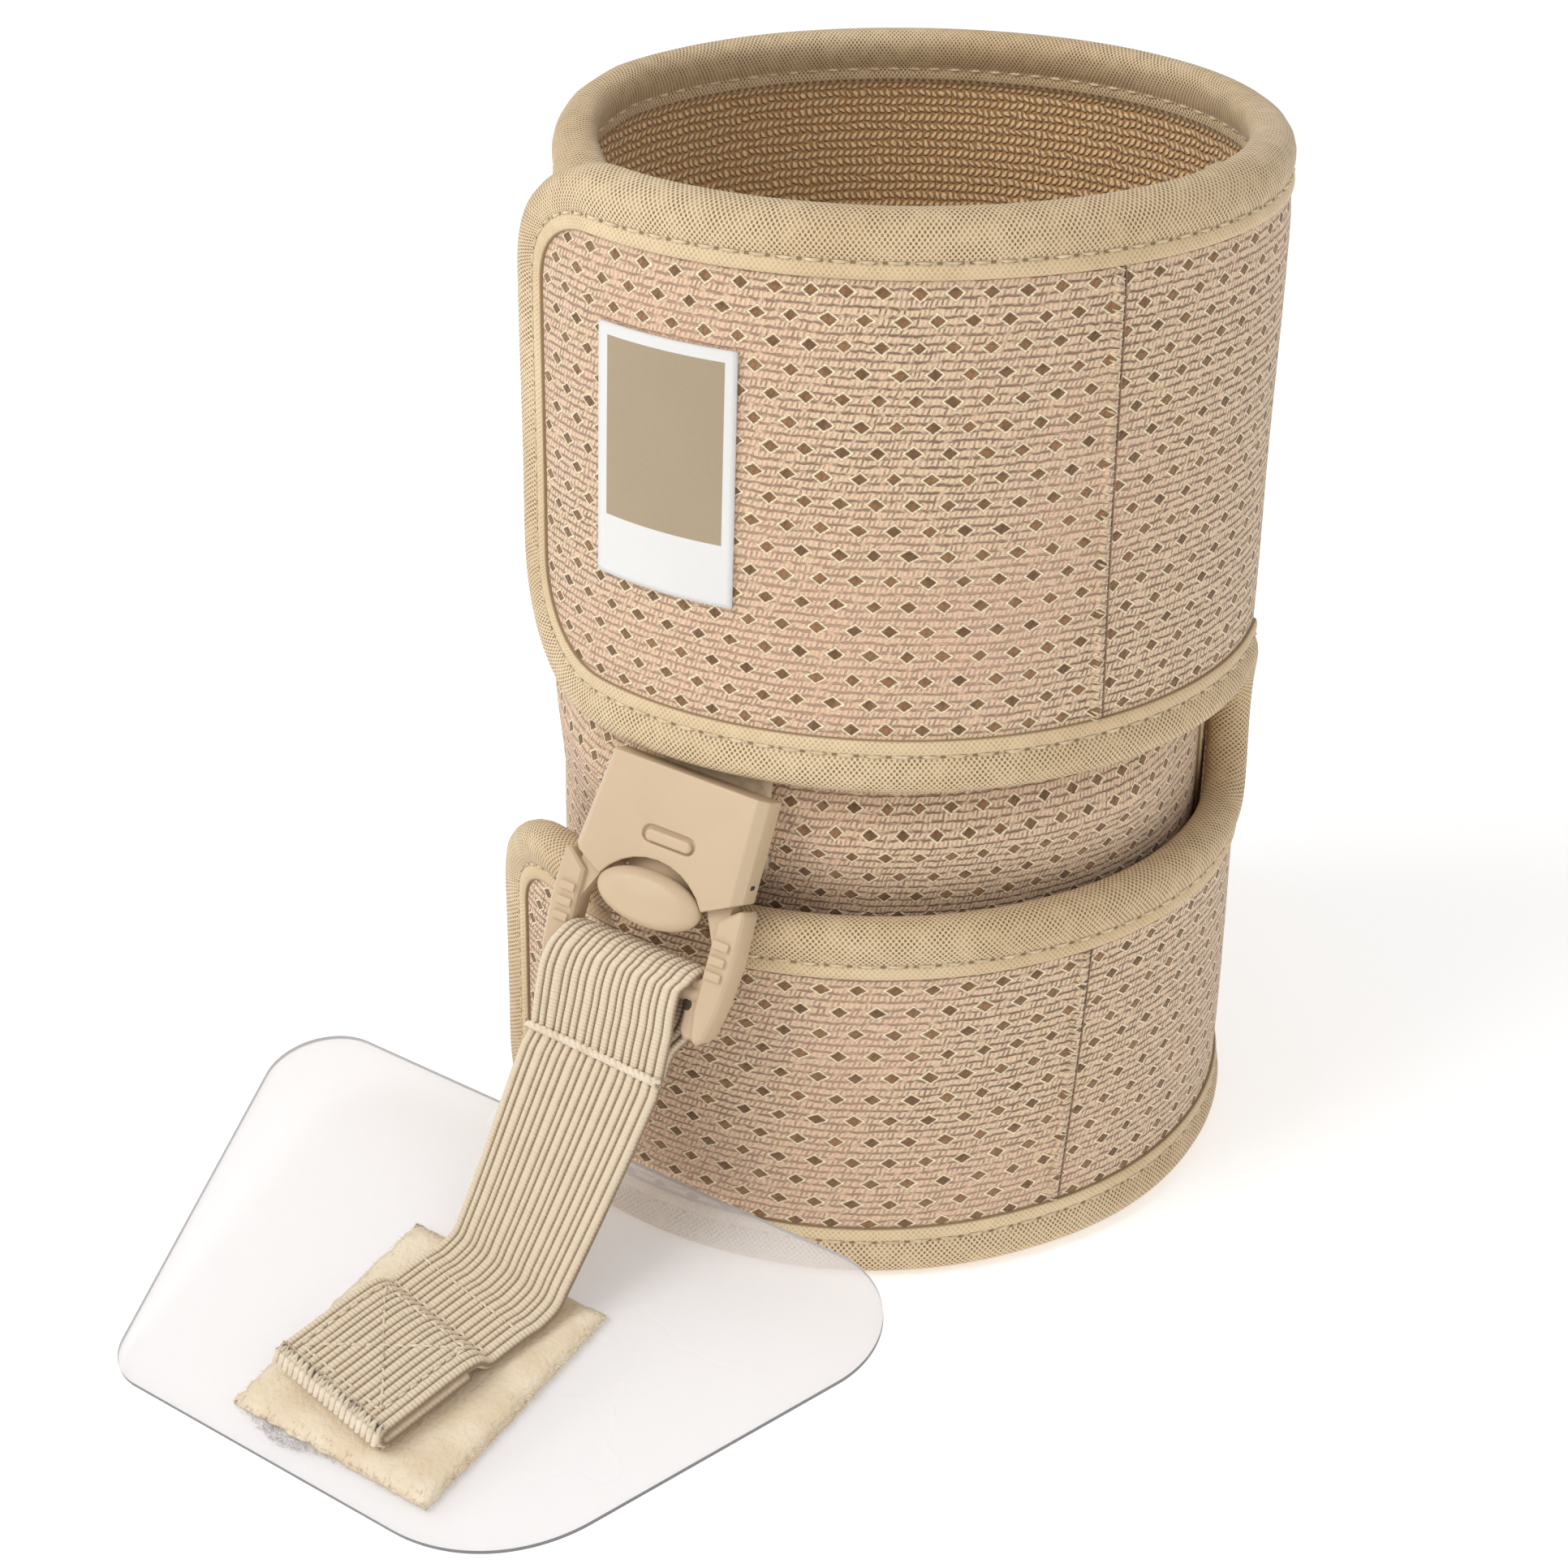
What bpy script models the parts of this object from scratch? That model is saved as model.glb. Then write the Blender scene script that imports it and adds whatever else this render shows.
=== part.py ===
# Drop foot brace: a fabric ankle wrap, a buckle and elastic strap, and a thin clear plate.
# Metres, +Z up. The front of the wrap faces -Y, and the brace stands on z = 0.
from collections import namedtuple
from math import acos, ceil, cos, degrees, hypot, pi, radians, sin, sqrt, tan

import bmesh
import bpy
from mathutils import Matrix, Vector

MM = 0.001

# Clearance between touching pieces
GAP = 0.3 * MM

# Ankle wrap: one band, wound outwards, whose tail is slit into two flaps
WRAP_HEIGHT = 132.0 * MM
WRAP_RADIUS = 40.6 * MM
TOP_NARROWING = 5.0 * MM
NARROW_SIDE_ANGLE = 36.0
HEAD_SHIFT_X = -0.7 * MM
HEAD_SHIFT_Y = -0.5 * MM
FOOT_SHIFT_X = 1.6 * MM
FOOT_SHIFT_Y = -6.4 * MM
RIM_CURL = 2.0 * MM
RIM_CURL_HEIGHT = 12.0 * MM
LAYER_STEP = 5.3 * MM
MESH_THICKNESS = 2.0 * MM
LINING_THICKNESS = 0.9 * MM
SLIT_LOW = 48.8 * MM
SLIT_HIGH = 64.9 * MM
SLIT_PUFF = 2.8 * MM
SLIT_PUFF_REACH = 10.0 * MM
INNER_TOP_DROP = 3.5 * MM

# Turns along the band, in degrees from the front towards -X
INNER_END_TURN = -128.0
DROP_END_TURN = 35.0
FULL_HEIGHT_TURN = 80.0
SLIT_START_TURN = 240.0
FLAP_END_TURN = 399.0

# Corner radii of the band
INNER_CORNER = 11.5 * MM
LOWER_FLAP_CORNER = 13.0 * MM
UPPER_FLAP_LOW_CORNER = 18.0 * MM
UPPER_FLAP_TOP_CORNER = 15.0 * MM

# Edge binding: tape folded over the band's edge
BINDING_WIDTH = 7.0 * MM
TAPE_THICKNESS = 0.6 * MM
BINDING_CREST = 1.4 * MM
BINDING_STEP = 7.0 * MM
BINDING_CORNER_STEP = 22.5

# Wall of the band: how finely it is divided along, and where its rows lie below and
# above the slit's middle, as shares of the way from edge to edge
COLUMN_STEP = 9.0
CORNER_SHARES = (0.08, 0.3, 0.65, 1.0)
LOWER_SHARES = (0.0, 0.41, 0.82, 1.0)
UPPER_SHARES = (0.0, 0.136, 0.5, 0.84, 0.925, 1.0)

# Printed patch on the upper flap
LABEL_TURN = 361.5
LABEL_HEIGHT = 30.0 * MM
LABEL_BELOW_RIM = 16.0 * MM
LABEL_LOW = WRAP_HEIGHT - LABEL_BELOW_RIM - LABEL_HEIGHT
LABEL_WIDTH = 17.3 * MM
LABEL_THICKNESS = 0.5 * MM

# Tab under the upper flap that holds the buckle
ANCHOR_TURN = -4.0
ANCHOR_LOW = SLIT_LOW + 3.2 * MM
ANCHOR_HIGH = SLIT_HIGH + 17.1 * MM
ANCHOR_WIDTH = 20.0 * MM
ANCHOR_THICKNESS = 0.6 * MM
PATCH_LIFT = 0.42 * MM
PATCH_COLUMNS = 4

# Buckle: its face centre at the button, and how it faces, tilts and leans
BUCKLE_STANDOFF = 15.8 * MM
BUCKLE_X = 3.6 * MM
BUCKLE_Y = -(WRAP_RADIUS + BUCKLE_STANDOFF)
BUCKLE_Z = SLIT_LOW + 1.6 * MM
BUCKLE_AZIMUTH = 9.0
BUCKLE_TILT = 24.0
BUCKLE_LEAN = 4.0

HOUSING_TOP = 15.8 * MM
HOUSING_CORNER_Y = 3.2 * MM
HOUSING_TIP_Y = 0.8 * MM
HOUSING_HALF = 11.8 * MM
HOUSING_DEPTH = 4.2 * MM
HOUSING_WALL = 0.9 * MM
HOUSING_CHAMFER = 1.1 * MM
ARM_EDGE = 0.7 * MM
CHAMFER_FROM_ANGLE = 60.0
ARC_RADIUS = 8.5 * MM
ARC_CENTRE_Y = -3.7 * MM
CAVITY_TOP = 12.7 * MM
PILL_Y = 7.6 * MM
PILL_LENGTH = 7.4 * MM
PILL_WIDTH = 2.2 * MM
PILL_DEPTH = 0.5 * MM

ARM_INNER = 9.5 * MM
ARM_OUTER = 12.8 * MM
ARM_DEPTH = 3.8 * MM
ARM_LOW = -14.8 * MM
ROOT_BAR_HEIGHT = 3.0 * MM
FORK_SHOULDER_X = 5.6 * MM
FORK_SHOULDER_Y = 4.8 * MM
FORK_FOOT_Y = -3.7 * MM
RIDGE_FIRST_Y = -2.1 * MM
RIDGE_PITCH = 1.9 * MM
RIDGE_COUNT = 3
RIDGE_HEIGHT = 0.4 * MM
BAR_Y = -9.0 * MM
BAR_RADIUS = 1.5 * MM

BUTTON_HALF_LENGTH = 7.2 * MM
BUTTON_HALF_WIDTH = 3.4 * MM
BUTTON_RISE = 1.9 * MM
TONGUE_HALF = 4.4 * MM
TONGUE_DEPTH = 1.3 * MM
HINGE_Y = 8.0 * MM

# Elastic strap
STRAP_WIDTH = 20.0 * MM
STRAP_THICKNESS = 1.5 * MM
SEAM_DISTANCE = 9.0 * MM
UNDERLAP = 12.0 * MM
BEND_STEPS = 8
FREE_STEPS = 5
LYING_STEPS = 2
FOLD_STEPS = 5
STRAP_END_X = -0.1 * MM
STRAP_END_Y = 9.5 * MM
STRAP_SKEW = 0.18
STRAP_SEAM_SHIFT = -2.0 * MM

# Clear plate: a sheet with rounded corners that leans on the wrap's foot
PLATE_REACH = 74.6 * MM
PLATE_X = -0.9 * MM
PLATE_FRONT_Y = -(WRAP_RADIUS + PLATE_REACH)
PLATE_TURN = 3.2
PLATE_SLOPE = 9.3
PLATE_FRONT_HALF = 29.7 * MM
PLATE_BACK_HALF = 53.6 * MM
PLATE_LENGTH = 59.4 * MM
PLATE_THICKNESS = 0.8 * MM
PLATE_FRONT_LEFT = 7.0 * MM
PLATE_FRONT_RIGHT = 20.0 * MM
PLATE_BACK_RIGHT = 12.0 * MM
PLATE_BACK_LEFT = 8.5 * MM

# Hook pad between plate and strap
PAD_X = 3.0 * MM
PAD_Y = 20.2 * MM
PAD_WIDTH = 30.0 * MM
PAD_LENGTH = 32.8 * MM
PAD_THICKNESS = 1.2 * MM
PAD_CORNER = 1.0 * MM

SMOOTH_ANGLE = 35.0
BINDING_SMOOTH_ANGLE = 50.0

COLLECTION = "drop_foot_brace"

LayerRow = namedtuple("LayerRow", "turn upper lower puff")
# Where the wall's middle lies along the band, in layers out from the wrap's radius,
# for the upper and the lower half, and the share of the puff between the flaps
LAYER_ROWS = (
    LayerRow(INNER_END_TURN, -0.50, -0.50, 0.0),
    LayerRow(-100.0, -0.42, -0.42, 0.0),
    LayerRow(-80.0, -0.37, -0.37, 1.0),
    LayerRow(20.0, -0.09, -0.09, 1.0),
    LayerRow(44.0, -0.02, 0.08, 0.5),
    LayerRow(70.0, 0.42, 0.46, 0.4),
    LayerRow(115.0, 0.55, 0.35, 0.0),
    LayerRow(INNER_END_TURN + 360.0, 0.55, 0.55, 0.0),
    LayerRow(300.0, 0.74, 0.86, 0.0),
    LayerRow(FLAP_END_TURN, 1.00, 1.70, 0.3),
)

# An arm's rounded and tapered end, as shares of its width and length
ARM_SHAPE = ((0.0, 0.22), (0.15, 0.05), (0.4, 0.0), (0.7, 0.06), (0.95, 0.3), (1.08, 0.6))

MaterialRow = namedtuple("MaterialRow", "colour roughness metallic alpha")
MATERIALS = {
    "spacer_mesh": MaterialRow((0.79, 0.64, 0.53), 0.9, 0.0, 1.0),
    "terry": MaterialRow((0.72, 0.52, 0.30), 0.95, 0.0, 1.0),
    "binding_tape": MaterialRow((0.72, 0.62, 0.47), 0.85, 0.0, 1.0),
    "beige_plastic": MaterialRow((0.74, 0.60, 0.44), 0.45, 0.0, 1.0),
    "elastic": MaterialRow((0.80, 0.70, 0.56), 0.85, 0.0, 1.0),
    "hook_tape": MaterialRow((0.86, 0.77, 0.62), 0.95, 0.0, 1.0),
    "clear_sheet": MaterialRow((0.93, 0.92, 0.91), 0.25, 0.0, 0.35),
    "print": MaterialRow((0.62, 0.54, 0.44), 0.6, 0.0, 1.0),
}


# Scene and objects

def clear_scene():
    for item in list(bpy.data.objects):
        bpy.data.objects.remove(item, do_unlink=True)


def make_collection(name):
    collection = bpy.data.collections.new(name)
    bpy.context.scene.collection.children.link(collection)
    return collection


def make_material(name):
    row = MATERIALS[name]
    material = bpy.data.materials.new(name)
    material.use_nodes = True
    shader = material.node_tree.nodes["Principled BSDF"]
    shader.inputs["Base Color"].default_value = (*row.colour, 1.0)
    shader.inputs["Roughness"].default_value = row.roughness
    shader.inputs["Metallic"].default_value = row.metallic
    shader.inputs["Alpha"].default_value = row.alpha
    return material


def add_object(name, mesh, collection, material=None, matrix=None):
    item = bpy.data.objects.new(name, mesh)
    collection.objects.link(item)
    if material is not None:
        mesh.materials.clear()
        mesh.materials.append(material)
    if matrix is not None:
        item.matrix_world = matrix
    return item


def mesh_from_bmesh(name, shape, merge=0.000001):
    bmesh.ops.remove_doubles(shape, verts=shape.verts, dist=merge)
    bmesh.ops.recalc_face_normals(shape, faces=shape.faces)
    mesh = bpy.data.meshes.new(name)
    shape.to_mesh(mesh)
    shape.free()
    return mesh


def prism(name, outline, low, high, collection, matrix):
    # A flat outline in the local XY plane, filled and drawn out from z = low to z = high
    curve = bpy.data.curves.new(name, "CURVE")
    curve.dimensions = "2D"
    curve.fill_mode = "BOTH"
    curve.extrude = (high - low) / 2
    spline = curve.splines.new("POLY")
    spline.points.add(len(outline) - 1)
    for point, (x, y) in zip(spline.points, outline):
        point.co = (x, y, 0.0, 1.0)
    spline.use_cyclic_u = True
    drawn = bpy.data.objects.new(name, curve)
    collection.objects.link(drawn)
    bpy.context.view_layer.update()
    graph = bpy.context.evaluated_depsgraph_get()
    mesh = bpy.data.meshes.new_from_object(drawn.evaluated_get(graph))
    bpy.data.objects.remove(drawn, do_unlink=True)
    shape = bmesh.new()
    shape.from_mesh(mesh)
    bmesh.ops.translate(shape, verts=shape.verts, vec=(0, 0, (low + high) / 2))
    bpy.data.meshes.remove(mesh)
    return add_object(name, mesh_from_bmesh(name, shape), collection, matrix=matrix)


def box_outline(left, right, low, high):
    return [(left, low), (right, low), (right, high), (left, high)]


def boolean(item, other, operation):
    modifier = item.modifiers.new(operation.lower() + "_" + other.name, "BOOLEAN")
    modifier.operation = operation
    modifier.object = other
    modifier.solver = "EXACT"
    other.hide_render = True
    other.display_type = "WIRE"


def chamfer_edges(item, width):
    modifier = item.modifiers.new("chamfered_edges", "BEVEL")
    modifier.width = width
    modifier.segments = 1
    modifier.limit_method = "ANGLE"
    modifier.angle_limit = radians(CHAMFER_FROM_ANGLE)


def smooth(item, angle):
    item.data.shade_smooth()
    item.data.set_sharp_from_angle(angle=radians(angle))


# Outlines with rounded corners

def round_outline(corners, arc_step):
    # corners: (x, y, radius) in order; returns the runs' end points and the arcs' points
    points = []
    count = len(corners)
    for index, (x, y, radius) in enumerate(corners):
        corner = Vector((x, y))
        before = Vector(corners[index - 1][:2]) - corner
        after = Vector(corners[(index + 1) % count][:2]) - corner
        before.normalize()
        after.normalize()
        half = acos(max(-1.0, min(1.0, before.dot(after)))) / 2
        if radius <= 0.0:
            points.append(corner)
            continue
        centre = corner + (before + after).normalized() * (radius / sin(half))
        start = corner + before * (radius / tan(half)) - centre
        sweep = pi - 2 * half
        turning = 1.0 if before.cross(after) < 0 else -1.0
        steps = max(2, ceil(degrees(sweep) / arc_step))
        for step in range(steps + 1):
            angle = turning * sweep * step / steps
            spoke = Vector((start.x * cos(angle) - start.y * sin(angle),
                            start.x * sin(angle) + start.y * cos(angle)))
            points.append(centre + spoke)
    return points


def divided(points, longest):
    # The same closed outline with its long runs cut into even pieces
    result = []
    for index, point in enumerate(points):
        following = points[(index + 1) % len(points)]
        run = (following - point).length
        pieces = max(1, ceil(run / longest - 0.001))
        result.extend(point.lerp(following, step / pieces) for step in range(pieces))
    return result


# The wrap's surface

def arc_of(turn):
    return radians(turn) * WRAP_RADIUS


def turn_of(arc):
    return degrees(arc / WRAP_RADIUS)


def layer_value(turn, column):
    rows = LAYER_ROWS
    if turn <= rows[0].turn:
        return getattr(rows[0], column)
    for low, high in zip(rows, rows[1:]):
        if turn <= high.turn:
            share = (turn - low.turn) / (high.turn - low.turn)
            return getattr(low, column) * (1 - share) + getattr(high, column) * share
    return getattr(rows[-1], column)


def ease(share):
    share = max(0.0, min(1.0, share))
    return share * share * (3 - 2 * share)


def wrap_point(arc, height, offset):
    # A point of the band: along it, up it, and out from the middle of its wall
    turn = turn_of(arc)
    around = radians(turn)
    share = height / WRAP_HEIGHT
    wide = WRAP_RADIUS
    narrow = WRAP_RADIUS - TOP_NARROWING * ease(share)
    from_narrow = around + radians(NARROW_SIDE_ANGLE)
    ring = wide * narrow / hypot(narrow * sin(from_narrow), wide * cos(from_narrow))
    upper = ease((height - SLIT_LOW) / (SLIT_HIGH - SLIT_LOW))
    layers = layer_value(turn, "upper") * upper + layer_value(turn, "lower") * (1 - upper)
    middle = (SLIT_LOW + SLIT_HIGH) / 2
    puff = max(0.0, 1 - abs(height - middle) / SLIT_PUFF_REACH) * layer_value(turn, "puff")
    curl = max(0.0, 1 - (WRAP_HEIGHT - height) / RIM_CURL_HEIGHT) ** 2
    radius = ring + layers * LAYER_STEP + puff * SLIT_PUFF - curl * RIM_CURL + offset
    centre_x = FOOT_SHIFT_X * (1 - share) + HEAD_SHIFT_X * share
    centre_y = FOOT_SHIFT_Y * (1 - share) + HEAD_SHIFT_Y * share
    return Vector((centre_x - radius * sin(around), centre_y - radius * cos(around), height))


def wall_half():
    return (MESH_THICKNESS + GAP + LINING_THICKNESS) / 2


def wall_inset():
    # From the band's edge to the wall's own edge, inside the folded tape
    return BINDING_CREST + 2 * GAP


def corner_rise(distance, radius):
    # How far a rounded corner lifts the edge at a distance from the band's end
    if distance >= radius:
        return 0.0
    return radius - sqrt(max(0.0, radius ** 2 - (radius - distance) ** 2))


def band_limits(arc, inset):
    # Heights of the band's wall at one place: foot, slit's two edges and top
    from_inner = arc - (arc_of(INNER_END_TURN) + inset)
    from_outer = arc_of(FLAP_END_TURN) - inset - arc
    inner = corner_rise(from_inner, INNER_CORNER - inset)
    drop = (turn_of(arc) - DROP_END_TURN) / (FULL_HEIGHT_TURN - DROP_END_TURN)
    top = WRAP_HEIGHT - INNER_TOP_DROP * (1 - max(0.0, min(1.0, drop))) - inset
    middle = (SLIT_LOW + SLIT_HIGH) / 2
    slit_half = (SLIT_HIGH - SLIT_LOW) / 2 + inset
    into_slit = arc - (arc_of(SLIT_START_TURN) - inset)
    opening = 0.0
    if into_slit > 0:
        reach = max(0.0, slit_half - into_slit)
        opening = sqrt(slit_half ** 2 - reach ** 2)
    low = inset + inner + corner_rise(from_outer, LOWER_FLAP_CORNER - inset)
    slit_low = middle - opening - corner_rise(from_outer, LOWER_FLAP_CORNER - inset)
    slit_high = middle + opening + corner_rise(from_outer, UPPER_FLAP_LOW_CORNER - inset)
    top -= inner + corner_rise(from_outer, UPPER_FLAP_TOP_CORNER - inset)
    return low, slit_low, slit_high, top


def band_columns(inset):
    # Places along the band, closer together at the ends and at the slit's round end
    start = arc_of(INNER_END_TURN) + inset
    slit = arc_of(SLIT_START_TURN) - inset
    end = arc_of(FLAP_END_TURN) - inset
    slit_half = (SLIT_HIGH - SLIT_LOW) / 2 + inset
    places = {start, slit, end}
    for share in CORNER_SHARES:
        places.add(start + share * INNER_CORNER)
        places.add(slit + share * slit_half)
        places.add(end - share * UPPER_FLAP_LOW_CORNER)
    step = arc_of(COLUMN_STEP)
    arc = ceil(start / step) * step
    while arc < end:
        if all(abs(arc - place) > step * 0.45 for place in places):
            places.add(arc)
        arc += step
    return sorted(places)


def band_sheet(name, face_offset, thickness, collection, material):
    # One layer of the band: an open sheet at its outer face, thickened inwards
    inset = wall_inset()
    shape = bmesh.new()
    columns = []
    for arc in band_columns(inset):
        low, slit_low, slit_high, top = band_limits(arc, inset)
        lower = [shape.verts.new(wrap_point(arc, low + (slit_low - low) * share, face_offset))
                 for share in LOWER_SHARES]
        upper = [shape.verts.new(wrap_point(arc, slit_high + (top - slit_high) * share, face_offset))
                 for share in UPPER_SHARES]
        columns.append((lower, upper))
    for left, right in zip(columns, columns[1:]):
        for side in (0, 1):
            rows = zip(left[side], left[side][1:], right[side], right[side][1:])
            for low_left, high_left, low_right, high_right in rows:
                shape.faces.new((low_left, high_left, high_right, low_right))
    bmesh.ops.remove_doubles(shape, verts=shape.verts, dist=0.000001)
    mesh = bpy.data.meshes.new(name)
    shape.to_mesh(mesh)
    shape.free()
    return thicken(add_object(name, mesh, collection, material), thickness)


def thicken(item, thickness):
    modifier = item.modifiers.new("wall", "SOLIDIFY")
    modifier.thickness = thickness
    modifier.offset = -1.0
    smooth(item, SMOOTH_ANGLE)
    return item


def puff_heights(turn):
    # The wall's rows at the slit's middle and at the upper end of the puff, at one turn
    slit_high, top = band_limits(arc_of(turn), wall_inset())[2:]
    return slit_high, slit_high + (top - slit_high) * UPPER_SHARES[1]


def band_patch(name, turn, width, heights, thickness, collection, material):
    # A piece that lies on the band and follows it
    shape = bmesh.new()
    outer = wall_half() + PATCH_LIFT + thickness
    grid = []
    for column in range(PATCH_COLUMNS + 1):
        arc = arc_of(turn) + width * (column / PATCH_COLUMNS - 0.5)
        grid.append([shape.verts.new(wrap_point(arc, height, outer)) for height in heights])
    for left, right in zip(grid, grid[1:]):
        for low_left, high_left, low_right, high_right in zip(left, left[1:], right, right[1:]):
            shape.faces.new((low_left, high_left, high_right, low_right))
    mesh = bpy.data.meshes.new(name)
    shape.to_mesh(mesh)
    shape.free()
    return thicken(add_object(name, mesh, collection, material), thickness)


def band_outline():
    # The band's edge, laid flat: along the band and up it
    start, end, slit = arc_of(INNER_END_TURN), arc_of(FLAP_END_TURN), arc_of(SLIT_START_TURN)
    slit_corner = (SLIT_HIGH - SLIT_LOW) / 2 * 0.98
    corners = (
        (start, 0.0, INNER_CORNER),
        (end, 0.0, LOWER_FLAP_CORNER),
        (end, SLIT_LOW, LOWER_FLAP_CORNER),
        (slit, SLIT_LOW, slit_corner),
        (slit, SLIT_HIGH, slit_corner),
        (end, SLIT_HIGH, UPPER_FLAP_LOW_CORNER),
        (end, WRAP_HEIGHT, UPPER_FLAP_TOP_CORNER),
        (arc_of(FULL_HEIGHT_TURN), WRAP_HEIGHT, 0.0),
        (arc_of(DROP_END_TURN), WRAP_HEIGHT - INNER_TOP_DROP, 0.0),
        (start, WRAP_HEIGHT - INNER_TOP_DROP, INNER_CORNER),
    )
    return divided(round_outline(corners, BINDING_CORNER_STEP), BINDING_STEP)


def binding_profile():
    # Across the folded tape: distance in from the edge, and out from the wall's middle
    inside = wall_half() + GAP
    outside = inside + TAPE_THICKNESS
    lip = inside + TAPE_THICKNESS * 0.6
    half = [(BINDING_WIDTH, lip), (0.32 * BINDING_WIDTH, outside),
            (0.10 * BINDING_WIDTH, 0.76 * outside), (0.0, 0.30 * outside)]
    mirrored = [(distance, -out) for distance, out in reversed(half)]
    slot = [(BINDING_WIDTH, -inside), (BINDING_CREST, -inside), (BINDING_CREST, inside), (BINDING_WIDTH, inside)]
    return half + mirrored + slot


def make_binding(collection, material):
    outline = band_outline()
    profile = binding_profile()
    shape = bmesh.new()
    rings = []
    for index, place in enumerate(outline):
        along = outline[(index + 1) % len(outline)] - outline[index - 1]
        inward = Vector((-along.y, along.x)).normalized()
        ring = [shape.verts.new(wrap_point(place.x + inward.x * distance, place.y + inward.y * distance, out))
                for distance, out in profile]
        rings.append(ring)
    for ring, following in zip(rings, rings[1:] + rings[:1]):
        for step in range(len(profile)):
            other = (step + 1) % len(profile)
            shape.faces.new((ring[step], ring[other], following[other], following[step]))
    item = add_object("edge_binding", mesh_from_bmesh("edge_binding", shape), collection, material)
    smooth(item, BINDING_SMOOTH_ANGLE)
    return item


# The buckle

def buckle_matrix():
    azimuth, tilt, lean = radians(BUCKLE_AZIMUTH), radians(BUCKLE_TILT), radians(BUCKLE_LEAN)
    flat_out = Vector((sin(azimuth), -cos(azimuth), 0))
    across = Vector((cos(azimuth), sin(azimuth), 0))
    out = flat_out * cos(tilt) + Vector((0, 0, sin(tilt)))
    up = out.cross(across)
    along = up * cos(lean) + across * sin(lean)
    side = across * cos(lean) - up * sin(lean)
    matrix = Matrix((side, along, out)).transposed().to_4x4()
    matrix.translation = Vector((BUCKLE_X, BUCKLE_Y, BUCKLE_Z))
    return matrix


def arc_points(radius, centre_y, x_from, x_to, steps):
    start = acos(max(-1.0, min(1.0, x_from / radius)))
    stop = acos(max(-1.0, min(1.0, x_to / radius)))
    angles = [start + (stop - start) * step / steps for step in range(steps + 1)]
    return [(radius * cos(angle), centre_y + radius * sin(angle)) for angle in angles]


def pill_outline(length, width, centre_y, steps=6):
    radius = width / 2
    reach = length / 2 - radius
    right = [(reach + radius * sin(pi * step / steps), centre_y - radius * cos(pi * step / steps))
             for step in range(steps + 1)]
    return right + [(-x, 2 * centre_y - y) for x, y in right]


def housing_section():
    # Across the housing: the two front edges are chamfered
    half, chamfer = HOUSING_HALF, HOUSING_CHAMFER
    return [(-half, -HOUSING_DEPTH), (half, -HOUSING_DEPTH), (half, -chamfer), (half - chamfer, 0.0),
            (-half + chamfer, 0.0), (-half, -chamfer)]


def below_housing():
    # What is cut away below the housing's lower edge, with the arch round the button
    tip_x = sqrt(ARC_RADIUS ** 2 - (HOUSING_TIP_Y - ARC_CENTRE_Y) ** 2)
    wide = 1.5 * HOUSING_HALF
    slope = (HOUSING_CORNER_Y - HOUSING_TIP_Y) / (HOUSING_HALF - tip_x)
    side_y = HOUSING_TIP_Y + slope * (wide - tip_x)
    arch = arc_points(ARC_RADIUS, ARC_CENTRE_Y, tip_x, -tip_x, 10)
    return [(wide, side_y)] + arch + [(-wide, side_y), (-wide, -HOUSING_TOP), (wide, -HOUSING_TOP)]


def cavity_half():
    return HOUSING_HALF - HOUSING_WALL


def cavity_depths():
    return -HOUSING_DEPTH + HOUSING_WALL, -HOUSING_WALL


def make_housing(collection, cutters, material, place):
    upright = place @ Matrix.Rotation(radians(90), 4, "X")
    item = prism("buckle_housing", housing_section(), -HOUSING_TOP, 0.0, collection, upright)
    item.data.materials.append(material)
    below = prism("below_cut", below_housing(), -2 * HOUSING_DEPTH, HOUSING_DEPTH, cutters, place)
    boolean(item, below, "DIFFERENCE")
    low, high = cavity_depths()
    half = cavity_half()
    cavity = prism("cavity_cut", box_outline(-half, half, ARC_CENTRE_Y, CAVITY_TOP), low, high, cutters, place)
    boolean(item, cavity, "DIFFERENCE")
    relief_half = TONGUE_HALF + 2 * GAP
    relief = prism("tongue_relief_cut", box_outline(-relief_half, relief_half, ARC_CENTRE_Y, HINGE_Y + GAP),
                   -2 * HOUSING_DEPTH, low + GAP, cutters, place)
    boolean(item, relief, "DIFFERENCE")
    pill = prism("pill_cut", pill_outline(PILL_LENGTH, PILL_WIDTH, PILL_Y), -PILL_DEPTH, HOUSING_DEPTH,
                 cutters, place)
    boolean(item, pill, "DIFFERENCE")
    return item


def arm_outline():
    top_outer = HOUSING_CORNER_Y - GAP
    top_inner = HOUSING_TIP_Y - GAP
    width = ARM_OUTER - ARM_INNER
    length = top_outer - ARM_LOW
    tapered = [(ARM_INNER + across * width, ARM_LOW + up * length) for across, up in ARM_SHAPE]
    return [(ARM_INNER, top_inner), *tapered, (ARM_OUTER, top_outer - 2 * GAP),
            (ARM_OUTER - 0.2 * width, top_outer - GAP)]


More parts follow.
